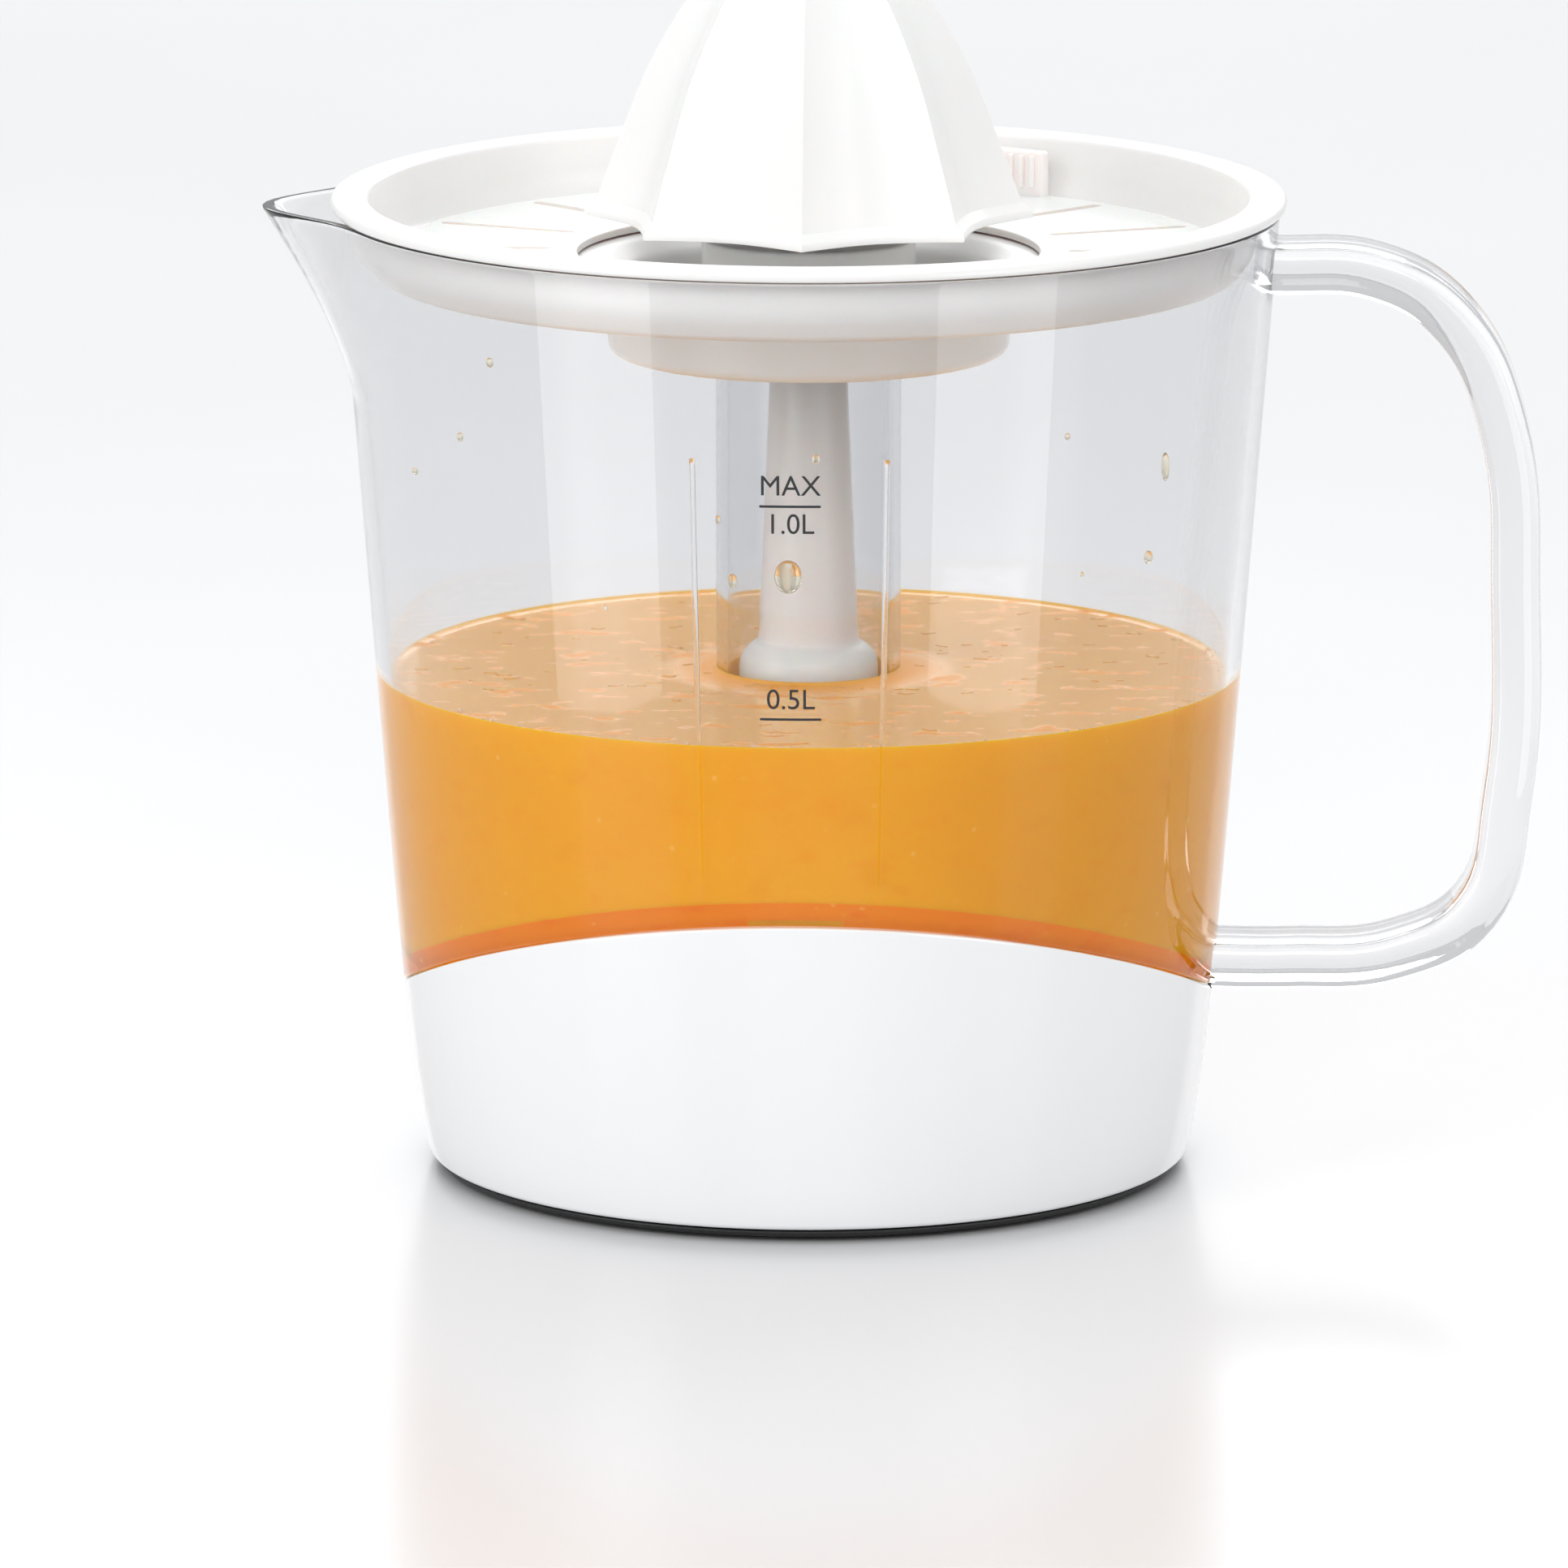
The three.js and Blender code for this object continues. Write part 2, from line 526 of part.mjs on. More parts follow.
class Coil extends THREE.Curve {
  getPoint(t) {
    const [low, high, turns] = [HUB_TOP_Z + 1, 12.8, 4];
    const angle = 2 * Math.PI * turns * t;
    return new THREE.Vector3(SPRING_R * Math.cos(angle), SPRING_R * Math.sin(angle), low + (high - low) * t);
  }
}
function returnSpring() {
  const wire = disc(0.5, 6);
  return new THREE.ExtrudeGeometry(wire, { steps: 40, extrudePath: new Coil(), bevelEnabled: false });
}

function switchBody() {
  const [pivotX, pivotZ] = SWITCH_PIVOT;
  const ear = (low, high) => solid(block([pivotX - 1.6, low, 8], [pivotX + 1.6, high, pivotZ + 1.6]));
  const well = solid(at(rod(1.5, 6.4, 12, 12), pivotX + BUTTON_FROM_PIVOT, 0));
  return surface(solid(block([-32, -3.4, COVER_TOP_Z + GAP], [-10.5, 3.4, 9]))
    .add(ear(-3.4, -2.6)).add(ear(2.6, 3.4)).subtract(well));
}

function switchButton() {
  const outline = [[0, 8], [1.2, 8], [1.2, 11.9], [0.7, 12.3], [0, 12.3]];
  return at(turned(outline, 12), SWITCH_PIVOT[0] + BUTTON_FROM_PIVOT, 0);
}

function switchLever() {
  const [pivotX, pivotZ] = SWITCH_PIVOT;
  const barrel = new THREE.CylinderGeometry(0.9, 0.9, 4.4, 12).translate(pivotX, 0, pivotZ);
  const arm = block([pivotX, -2, 12.7], [-6.1, 2, 13.4]);
  return surface(solid(barrel).add(solid(arm)));
}

// ---------------------------------------------------------------- jug, strainer and cones
// A ring of the body's wall between two insets, through the heights given.
function bodyRing(outerInset, innerInset, heights) {
  const side = (inset) => heights.map((z) => [bodyRadius(z) - inset, z]);
  const outline = [...side(outerInset), ...side(innerInset).reverse()];
  return solid(pushed(turned(outline, TURNED, true), spoutPush));
}

function jugFloor() {
  const edge = bodyRadius(JUG_FLOOR_Z) - JUG_STEP;
  const bore = TUBE_R - TUBE_WALL;
  const under = domePoints(JUG_DOME_GAP).filter(([r]) => r > bore + 1);
  const over = domePoints(JUG_DOME_GAP + WALL).filter(([r]) => r > TUBE_R + 1);
  const outline = [
    under[0], [edge - 3, JUG_FLOOR_Z], [edge - 0.8, JUG_FLOOR_Z + 0.8], [edge, JUG_FLOOR_Z + 3.4],
    [edge - WALL, JUG_FLOOR_Z + 3.8], [edge - WALL - 1.5, JUG_FLOOR_Z + WALL + 0.3],
    [over[0][0] + 1.5, JUG_FLOOR_Z + WALL], ...over, [TUBE_R, 73.6], [TUBE_R, TUBE_TOP_Z],
    [bore, TUBE_TOP_Z], [bore, 71.6], ...under.slice(1).reverse(),
  ];
  return solid(turned(outline, TURNED, true));
}

function jugHandle() {
  const wallMiddle = (z) => bodyRadius(z) - WALL / 2;
  const lowZ = RIM_SIDE_Z + 0.5 + HANDLE_DEPTH / 2;
  const highZ = JUG_RIM_Z - 9;
  const path = new THREE.CatmullRomCurve3([
    [wallMiddle(lowZ), lowZ], [78, lowZ], [96, lowZ + 1.5], [109, lowZ + 9], [114, 62], [115, 95],
    [112.5, 124], [104, 141], [92, highZ - 1], [wallMiddle(highZ), highZ],
  ].map(([x, z]) => new THREE.Vector3(x, 0, z)));
  const [wide, deep, corner] = [HANDLE_WIDTH / 2, HANDLE_DEPTH / 2, 2.5];
  const section = new THREE.Shape();
  section.absarc(wide - corner, deep - corner, corner, 0, Math.PI / 2);
  section.absarc(corner - wide, deep - corner, corner, Math.PI / 2, Math.PI);
  section.absarc(corner - wide, corner - deep, corner, Math.PI, Math.PI * 1.5);
  section.absarc(wide - corner, corner - deep, corner, Math.PI * 1.5, Math.PI * 2);
  const options = { steps: 20, curveSegments: 2, extrudePath: path, bevelEnabled: false };
  return solid(new THREE.ExtrudeGeometry(section, options));
}

function jug() {
  const nested = [JUG_FLOOR_Z + 2, 60];
  const flush = [28, 60, SPOUT_START_Z, 138, 148, JUG_RIM_Z];
  const inner = JUG_STEP + WALL;
  const below = besideRim(false, WALL + GAP);
  const above = besideRim(true, GAP);
  const shoulder = bodyRing(0, inner, flush.slice(0, 2)).intersect(above).intersect(below);
  return surface(joined([
    jugFloor(), bodyRing(JUG_STEP, inner, nested).intersect(below), shoulder,
    bodyRing(0, WALL, flush).intersect(above), jugHandle().intersect(above),
  ]));
}

// The slots through the strainer's floor, and through the ring that opens and closes them.
const floorSlots = () => Array.from({ length: SLOTS }, (_, i) =>
  solid(block([42, -1.1, 140], [66, 1.1, 155]).rotateZ(2 * Math.PI * i / SLOTS)));

// The strainer is one moulding, drawn as four pieces: the wall and flange of the bowl, the
// slotted floor, the wall of the deep well, and the well's floor with its sleeve.
function strainerBowl() {
  const floor = STRAINER_FLOOR_Z;
  return turned([
    [FLOOR_OUTER_R + GAP, floor - STRAINER_THICK], [69.2, floor - STRAINER_THICK], [72.4, 152],
    [73, 158.3], [77.2, 158.3], [77.6, 159], [77.2, 160.2], [71.4, 160.2], [70.8, 152.8], [68.6, floor],
    [FLOOR_OUTER_R + GAP, floor],
  ], TURNED, true);
}

function strainerFloor() {
  const low = STRAINER_FLOOR_Z - STRAINER_THICK;
  const band = ring(FLOOR_INNER_R, FLOOR_OUTER_R, low, STRAINER_FLOOR_Z, TURNED);
  return surface(solid(band).subtract(joined(floorSlots())));
}

function strainerWell() {
  const floor = STRAINER_FLOOR_Z;
  const foot = CUP_Z + STRAINER_THICK + GAP;
  return turned([
    [CUP_R + 0.1, foot], [CUP_R + 0.8, floor - 5], [CUP_R + 3, floor - STRAINER_THICK],
    [FLOOR_INNER_R - GAP, floor - STRAINER_THICK], [FLOOR_INNER_R - GAP, floor], [36.4, floor],
    [CUP_R - 0.9, 146], [CUP_R - 1.6, foot],
  ], TURNED, true);
}

function strainerSleeve() {
  const top = CUP_Z + STRAINER_THICK;
  const bore = TUBE_R + 0.6;
  const outline = [
    [bore, CUP_Z], [CUP_R - 1, CUP_Z], [CUP_R, CUP_Z + 0.8], [CUP_R, top], [CHIMNEY_R, top],
    [CHIMNEY_R, CHIMNEY_TOP_Z], [6.9, CHIMNEY_TOP_Z], [6.9, TUBE_TOP_Z + 1.4], [bore, TUBE_TOP_Z + 1.4],
  ];
  const slots = Array.from({ length: 6 }, (_, i) =>
    solid(block([20, -1, 130], [29, 1, 140]).rotateZ(2 * Math.PI * (i + 0.5) / 6)));
  return surface(solid(turned(outline, TURNED, true)).subtract(joined(slots)));
}

function pulpRing() {
  const low = STRAINER_FLOOR_Z + GAP;
  const tab = block([65.6, -5, low + 0.2], [67.8, 5, 158.5]).rotateZ(Math.PI / 3);
  const band = solid(ring(37.5, 68, low, low + 1.3, TURNED)).subtract(joined(floorSlots()));
  return surface(band.add(solid(tab)));
}

const glideRing = () => ring(9.1, 12.4, 157.9, 159.7, 20);

const reamerOutline = [
  [21, 157.5], [20.4, 160], [17.5, 168], [13.2, 178], [8.4, 186], [3.6, 191], [0, 192.3],
];

function reamer() {
  const body = solid(ridged(turned([[0, 157.5], ...reamerOutline], 4 * RIDGES)));
  const hollow = ring(8.3, 18, 150, 160, 20);
  const upper = turned([[8.3, 160], [17.6, 160], [14.6, 168], [10.6, 176], [8.3, 179]], 20, true);
  const socket = rod(HEX_R + 0.4, 150, SPINDLE_TOP_Z + GAP, 6);
  return surface(body.subtract(solid(hollow)).subtract(solid(upper)).subtract(solid(socket)));
}

function largeCone() {
  const outer = [
    [33.4, 156.4], [33.4, 157.6], [31.6, 159], [28.6, 168], [23.4, 182], [16, 195], [8, 203.5], [0, 207],
  ];
  const inner = [
    [30.4, 156.4], [29.2, 159], [26.2, 168], [21, 181], [14, 193], [6.6, 201], [0, 203.6],
  ];
  const shell = solid(ridged(turned([[0, 156.4], ...outer], 4 * RIDGES)));
  const space = solid(ridged(turned([[0, 150], [inner[0][0], 150], ...inner], 4 * RIDGES)));
  const grown = reamerOutline.map(([r, z]) => (r ? [r + 0.5, z + 0.3] : [0, z + 0.6]));
  const reamerSpace = solid(ridged(turned([[0, 150], [21.5, 150], ...grown], 4 * RIDGES)));
  const fin = solid(block([-30, -0.8, 164], [30, 0.8, 205]));
  const fins = fin.add(fin.rotate([0, 0, 90]));
  return surface(shell.subtract(space.subtract(fins)).subtract(reamerSpace));
}

// ---------------------------------------------------------------- assembly
function material(color, roughness, metalness = 0) {
  return new THREE.MeshStandardMaterial({ color, roughness, metalness });
}

const finish = {
  white: material(0xf2f2f0, 0.18),
  milky: material(0xf3ece6, 0.35),
  black: material(0x17181a, 0.5),
  rubber: material(0x1c1c1e, 0.85),
  clear: material(0xdfe7ea, 0.05),
  steel: material(0xb9bcc0, 0.3, 1),
  bronze: material(0xa9793d, 0.4, 1),
  laminate: material(0x6d7076, 0.5, 1),
  copper: material(0xb5612b, 0.35, 1),
  ferrite: material(0x2b2b2e, 0.7),
  nylon: material(0xe9e4d6, 0.5),
  acetal: material(0xdedccf, 0.45),
};

const juicer = new THREE.Group();
function place(name, geometry, look, x = 0, y = 0) {
  const mesh = new THREE.Mesh(cleaned(geometry), look);
  mesh.name = name;
  mesh.position.set(x, y, 0);
  juicer.add(mesh);
}

place('base_shell', baseShell(), finish.white);
place('base_deck', baseDeck(), finish.white);
place('bottom_cover', bottomCover(), finish.black);
place('cord_grommet', cordGrommet(), finish.rubber);
['right', 'back', 'left', 'front'].forEach((side, i) => {
  place(`foot_${side}`, foot(), finish.rubber, ...polar(FOOT_RING_R, 90 * i));
});
coverScrewAngles.forEach((degrees, i) => {
  place(`cover_screw_${i + 1}`, coverScrew(), finish.steel, ...polar(COVER_SCREW_RING_R, degrees));
});

place('motor_core', motorCore(), finish.laminate);
['left', 'right'].forEach((side, i) => {
  const sign = 2 * i - 1;
  place(`bobbin_${side}`, bobbin(sign), finish.nylon);
  place(`winding_${side}`, winding(sign), finish.copper);
  place(`motor_screw_${side}`, motorScrew(), finish.steel, MOTOR_SCREW_X * sign, MOTOR_SCREW_Y);
});
place('rotor_shaft', rotorShaft(), finish.steel, 0, ROTOR_Y);
place('rotor_magnet', rotorMagnet(), finish.ferrite, 0, ROTOR_Y);
place('rotor_bush_lower', rotorBushLower(), finish.bronze, 0, ROTOR_Y);
place('rotor_bush_upper', rotorBushUpper(), finish.bronze, 0, ROTOR_Y);
place('motor_bracket', motorBracket(), finish.steel);

place('gear_plate', gearPlate(), finish.steel);
plateScrewAngles.forEach((degrees, i) => {
  place(`plate_screw_${i + 1}`, plateScrew(), finish.steel, ...polar(PLATE_SCREW_RING_R, degrees));
});
place('idler_axle', idlerAxle(), finish.steel, idlerX, idlerY);
place('idler_gear', idlerGear(), finish.acetal, idlerX, idlerY);
place('output_gear', outputGear(), finish.acetal);
place('gear_cover', gearCover(), finish.nylon);

place('upper_bush', upperBush(), finish.bronze);
place('lower_bush', lowerBush(), finish.bronze);
place('shaft_seal', shaftSeal(), finish.rubber);
place('drive_shaft', driveShaft(), finish.steel);
place('retaining_clip', retainingClip(), finish.steel);
place('spindle_tube', spindleTube(), finish.milky);
place('press_plunger', plunger(), finish.nylon);
place('return_spring', returnSpring(), finish.steel);
place('switch_body', switchBody(), finish.black);
place('switch_button', switchButton(), finish.nylon);
place('switch_lever', switchLever(), finish.steel);

place('jug', jug(), finish.clear);
place('strainer_bowl', strainerBowl(), finish.white);
place('strainer_floor', strainerFloor(), finish.white);
place('strainer_well', strainerWell(), finish.white);
place('strainer_sleeve', strainerSleeve(), finish.white);
place('pulp_ring', pulpRing(), finish.milky);
place('glide_ring', glideRing(), finish.nylon);
place('reamer', reamer(), finish.white);
place('large_cone', largeCone(), finish.white);

export default juicer;
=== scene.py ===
# A citrus press juicer: white motor base, clear one-litre jug of orange juice, strainer,
# spindle and pressing cones. Sizes in the sections are millimetres, scene units are metres.
import json
import math
import random

import bmesh
import bpy
from mathutils import Matrix, Vector
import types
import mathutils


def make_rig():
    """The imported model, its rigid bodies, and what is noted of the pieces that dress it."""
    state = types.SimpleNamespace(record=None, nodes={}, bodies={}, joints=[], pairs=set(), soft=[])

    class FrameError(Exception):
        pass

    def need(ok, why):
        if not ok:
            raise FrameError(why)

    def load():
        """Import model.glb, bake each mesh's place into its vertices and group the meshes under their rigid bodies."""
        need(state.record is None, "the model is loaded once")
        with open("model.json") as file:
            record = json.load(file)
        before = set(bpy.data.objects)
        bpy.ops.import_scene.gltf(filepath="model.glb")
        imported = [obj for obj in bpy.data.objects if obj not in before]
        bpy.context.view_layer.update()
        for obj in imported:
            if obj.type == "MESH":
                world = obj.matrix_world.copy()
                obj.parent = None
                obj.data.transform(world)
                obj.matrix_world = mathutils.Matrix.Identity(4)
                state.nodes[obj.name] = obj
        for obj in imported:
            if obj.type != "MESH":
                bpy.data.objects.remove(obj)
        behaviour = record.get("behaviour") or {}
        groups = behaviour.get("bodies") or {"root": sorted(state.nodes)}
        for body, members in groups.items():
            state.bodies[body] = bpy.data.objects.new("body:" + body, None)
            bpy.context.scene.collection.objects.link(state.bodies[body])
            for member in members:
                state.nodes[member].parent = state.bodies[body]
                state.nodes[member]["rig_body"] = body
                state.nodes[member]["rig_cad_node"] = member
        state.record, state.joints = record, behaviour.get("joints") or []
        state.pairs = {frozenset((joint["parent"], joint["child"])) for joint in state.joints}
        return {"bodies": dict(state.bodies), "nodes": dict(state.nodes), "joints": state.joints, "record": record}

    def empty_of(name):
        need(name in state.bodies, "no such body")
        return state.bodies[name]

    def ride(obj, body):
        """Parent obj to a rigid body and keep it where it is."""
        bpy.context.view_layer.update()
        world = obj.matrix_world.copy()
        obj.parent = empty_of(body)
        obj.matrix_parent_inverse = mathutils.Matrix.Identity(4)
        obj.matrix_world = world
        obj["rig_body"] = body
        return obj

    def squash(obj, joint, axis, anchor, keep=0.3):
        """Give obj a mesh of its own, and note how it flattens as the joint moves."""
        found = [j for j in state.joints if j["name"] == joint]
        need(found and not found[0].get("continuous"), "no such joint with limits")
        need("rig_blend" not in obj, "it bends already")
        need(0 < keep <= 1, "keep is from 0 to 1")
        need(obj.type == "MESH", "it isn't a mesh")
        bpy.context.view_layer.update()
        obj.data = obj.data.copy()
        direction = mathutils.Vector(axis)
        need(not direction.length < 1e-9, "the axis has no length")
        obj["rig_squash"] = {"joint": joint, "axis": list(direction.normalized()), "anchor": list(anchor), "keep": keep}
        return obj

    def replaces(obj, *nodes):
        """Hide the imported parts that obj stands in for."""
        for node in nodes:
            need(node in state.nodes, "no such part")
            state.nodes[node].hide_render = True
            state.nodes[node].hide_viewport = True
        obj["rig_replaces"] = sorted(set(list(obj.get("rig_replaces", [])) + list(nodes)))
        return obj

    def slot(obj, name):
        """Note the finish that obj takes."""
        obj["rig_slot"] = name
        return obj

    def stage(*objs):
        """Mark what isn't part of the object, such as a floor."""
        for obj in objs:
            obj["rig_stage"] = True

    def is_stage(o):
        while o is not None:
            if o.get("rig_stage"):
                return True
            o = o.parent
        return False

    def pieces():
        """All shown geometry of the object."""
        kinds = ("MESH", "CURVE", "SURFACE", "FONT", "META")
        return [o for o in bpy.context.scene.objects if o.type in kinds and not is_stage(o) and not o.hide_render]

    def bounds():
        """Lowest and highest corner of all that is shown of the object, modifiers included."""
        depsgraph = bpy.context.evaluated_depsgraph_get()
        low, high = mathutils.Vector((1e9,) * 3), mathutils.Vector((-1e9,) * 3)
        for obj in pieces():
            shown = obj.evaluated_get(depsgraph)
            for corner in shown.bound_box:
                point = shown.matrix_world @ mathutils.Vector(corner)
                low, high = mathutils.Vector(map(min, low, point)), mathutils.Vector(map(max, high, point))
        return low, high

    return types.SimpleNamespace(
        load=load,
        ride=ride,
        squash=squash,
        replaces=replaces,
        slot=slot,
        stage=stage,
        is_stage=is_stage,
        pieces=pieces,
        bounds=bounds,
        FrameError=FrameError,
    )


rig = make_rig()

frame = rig.load()
cad_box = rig.bounds()
nodes = frame["nodes"]
MM = 0.001

# ---------------------------------------------------------------- studio
# A plain pale floor under soft boxes, with a long lens a little above the juicer's middle.
# The camera looks from just right of the front, so the marks sit left of the spindle.
studio = bpy.context.scene
studio.view_settings.view_transform = "Standard"

floor_mesh = bpy.data.meshes.new("floor")
floor_mesh.from_pydata([(-6, -4, 0), (6, -4, 0), (6, 8, 0), (-6, 8, 0)], [], [(0, 1, 2, 3)])
floor = bpy.data.objects.new("floor", floor_mesh)
studio.collection.objects.link(floor)
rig.stage(floor)

lens_distance = 2300
lens_height = math.radians(11.55)
lens_turn = math.radians(1.9)
looking_at = Vector((-4.0, 0, 62.5))
outwards = Vector((math.sin(lens_turn) * math.cos(lens_height),
                   -math.cos(lens_turn) * math.cos(lens_height), math.sin(lens_height)))
seen_width = 256.2
camera_data = bpy.data.cameras.new("long_lens")
camera_data.lens = camera_data.sensor_width * lens_distance / seen_width
camera_data.clip_end = 50
camera = bpy.data.objects.new("long_lens", camera_data)
camera.location = (looking_at + outwards * lens_distance) * MM
camera.rotation_euler = outwards.to_track_quat("Z", "Y").to_euler()
studio.collection.objects.link(camera)
studio.camera = camera


def soft_box(name, place, aim, width, height, watts):
    """An area lamp at a place in metres, turned to face a point."""
    lamp_data = bpy.data.lights.new(name, "AREA")
    lamp_data.shape = "RECTANGLE"
    lamp_data.size = width
    lamp_data.size_y = height
    lamp_data.energy = watts
    lamp = bpy.data.objects.new(name, lamp_data)
    lamp.location = place
    lamp.rotation_euler = (Vector(place) - Vector(aim)).to_track_quat("Z", "Y").to_euler()
    studio.collection.objects.link(lamp)
    return lamp


middle = (0, 0, 0.1)
soft_box("box_left", (-1.5, -1.3, 0.9), middle, 1.0, 1.6, 12)
soft_box("box_right", (1.9, -0.9, 0.9), middle, 0.7, 1.4, 5)
soft_box("box_top", (0, 0.4, 2.2), middle, 2.2, 2.2, 18)
soft_box("box_front", (0.1, -2.6, 1.5), middle, 1.6, 1.0, 17)
soft_box("box_behind", (0.2, 2.6, 1.3), (0, 0.9, 0), 3.0, 1.2, 29)

# Two low strips close by that show only as bands in the glossy plastic, not in the floor.
unlit_floor = bpy.data.collections.new("not_lit_by_strips")
unlit_floor.objects.link(floor)
unlit_floor.collection_objects[0].light_linking.link_state = "EXCLUDE"
strip_distance, strip_height = 0.3, 0.09
for side, turn in (("left", math.radians(-47)), ("right", math.radians(44))):
    place = (strip_distance * math.sin(turn), -strip_distance * math.cos(turn), strip_height)
    strip = soft_box("strip_" + side, place, (0, 0, strip_height), 0.15, 0.17, 0.16)
    strip.visible_camera = strip.visible_diffuse = strip.visible_transmission = False
    strip.light_linking.receiver_collection = unlit_floor

world = bpy.data.worlds.new("pale_room")
studio.world = world
world.use_nodes = True
room = world.node_tree
room_light = room.nodes["Background"]
room_light.inputs["Color"].default_value = (0.97, 0.98, 1.0, 1)
room_light.inputs["Strength"].default_value = 0.68


# ---------------------------------------------------------------- base shell
# The white outer shell of the base, one glossy ABS moulding 2.2 mm thick. Its top edge is
# arched: low at the spout and the handle, high at the front and back, where the jug nests.
wall = 2.2
shell_foot = 2.2
rim_side = 29.6
rim_rise = 23.2
rim_fullness = 1.3
body_at_rim = 67


def body_radius(z):
    """Outside radius of the shell and the jug at a height: a flare at the foot, then a taper."""
    return 61.7 + 2.4 * (1 - math.exp(-z / 14)) + 0.078 * z


def rim_height(angle):
    """Height of the shell's arched top edge, by the angle round the spindle's axis."""
    across = abs(math.sin(angle)) * body_radius(45)
    return rim_side + rim_rise * (across / body_at_rim) ** rim_fullness


def spread(low, high, count):
    return [low + (high - low) * i / (count - 1) for i in range(count)]


def even_angles(count):
    return [2 * math.pi * i / count for i in range(count)]


def rounded(corners, steps=4):
    """A closed outline of (radius, height, fillet) corners, with each fillet as an arc."""
    outline = []
    for i, (r, z, fillet) in enumerate(corners):
        here = Vector((r, z))
        before = Vector(corners[i - 1][:2]) - here
        after = Vector(corners[(i + 1) % len(corners)][:2]) - here
        if fillet == 0:
            outline.append((r, z))
            continue
        reach = min(fillet, 0.49 * before.length, 0.49 * after.length)
        start = here + before.normalized() * reach
        end = here + after.normalized() * reach
        for t in spread(0, 1, steps + 1):
            point = start * (1 - t) ** 2 + here * 2 * t * (1 - t) + end * t ** 2
            outline.append((point.x, point.y))
    return outline


def finish_mesh(piece_mesh, name, sharp=35):
    """Cleans a bmesh, shades it smooth between sharp edges, and makes it an object."""
    bmesh.ops.remove_doubles(piece_mesh, verts=piece_mesh.verts, dist=0.000001)
    bmesh.ops.dissolve_degenerate(piece_mesh, edges=piece_mesh.edges, dist=0.0000005)
    loose = [edge for edge in piece_mesh.edges if not edge.link_faces]
    bmesh.ops.delete(piece_mesh, geom=loose, context="EDGES")
    bmesh.ops.recalc_face_normals(piece_mesh, faces=piece_mesh.faces)
    data = bpy.data.meshes.new(name)
    piece_mesh.to_mesh(data)
    piece_mesh.free()
    for face in data.polygons:
        face.use_smooth = True
    data.set_sharp_from_angle(angle=math.radians(sharp))
    piece = bpy.data.objects.new(name, data)
    studio.collection.objects.link(piece)
    return piece


def skinned(skin, rings):
    """Joins each ring of points to the next one with faces."""
    for a, b in zip(rings, rings[1:]):
        for i in range(len(a)):
            j = (i + 1) % len(a)
            skin.faces.new((a[i], b[i], b[j], a[j]))


def wound(name, angles, section_at, sharp=35):
    """Sweeps a closed outline round the spindle axis. The outline may change with the angle."""
    skin = bmesh.new()
    rings = []
    for angle in angles:
        outline = section_at(angle)
        rings.append([skin.verts.new((r * MM * math.cos(angle), r * MM * math.sin(angle), z * MM))
                      for r, z in outline])
    skinned(skin, rings + rings[:1])
    return finish_mesh(skin, name, sharp)


def shell_section(angle):
    top = rim_height(angle)
    foot = body_radius(shell_foot)
    outside = [(body_radius(z), z, 0) for z in spread(shell_foot + 3.2, top - 1.2, 14)]
    inside = [(body_radius(z) - wall, z, 0) for z in spread(top - 1.2, 23, 8)]
    return rounded([
        (foot - wall, shell_foot, 0.4), (foot - 0.2, shell_foot, 1.6), *outside,
        (body_radius(top), top, 0.5), (body_radius(top) - wall, top, 0.4), *inside,
        (body_radius(22.6) - wall - 2.4, 22.6, 0.3), (body_radius(21) - wall - 2.4, 21, 0.3),
        (body_radius(18.6) - wall, 18.6, 0.3), (body_radius(5) - wall, 5, 0),
    ])


base_shell = wound("white_shell", even_angles(180), shell_section)


def combined(piece, others, operation, sharp):
    """Cuts other closed pieces out of a piece, or fuses them to it, and throws them away."""
    for other in others:
        change = piece.modifiers.new("change", "BOOLEAN")
        change.operation = operation
        change.solver = "EXACT"
        change.object = other
    shape = piece.evaluated_get(bpy.context.evaluated_depsgraph_get())
    data = bpy.data.meshes.new_from_object(shape)
    piece.modifiers.clear()
    piece.data = data
    data.set_sharp_from_angle(angle=math.radians(sharp))
    for other in others:
        bpy.data.objects.remove(other)


def cut_with(piece, cutters):
    combined(piece, cutters, "DIFFERENCE", 35)


def turned(name, corners, sides=64):
    outline = rounded(corners)
    return wound(name, even_angles(sides), lambda angle: outline)


inlet_height = 12
inlet_cutter = turned("inlet_cutter", [(0, -6, 0), (5.3, -6, 0), (5.3, 6, 0), (0, 6, 0)], 32)
inlet_cutter.data.transform(Matrix.Translation((0, body_radius(inlet_height) * MM, inlet_height * MM))
                            @ Matrix.Rotation(math.pi / 2, 4, "X"))
cut_with(base_shell, [inlet_cutter])


def new_group(name, inputs, outputs):
    """An empty shader node group with named sockets, and its input and output nodes."""
    group = bpy.data.node_groups.new(name, "ShaderNodeTree")
    for kind, label, start in inputs:
        socket = group.interface.new_socket(name=label, in_out="INPUT", socket_type=kind)
        if start is not None:
            socket.default_value = start
    for kind, label in outputs:
        group.interface.new_socket(name=label, in_out="OUTPUT", socket_type=kind)
    return group, group.nodes.new("NodeGroupInput"), group.nodes.new("NodeGroupOutput")


def node(tree, kind, links=None, **settings):
    """Adds a node, sets its properties or inputs by name, and links other sockets into it."""
    made = tree.nodes.new(kind)
    for key, value in settings.items():
        if hasattr(made, key):
            setattr(made, key, value)
        else:
            made.inputs[key.replace("_", " ").title()].default_value = value
    for key, source in (links or {}).items():
        tree.links.new(source, made.inputs[key])
    return made


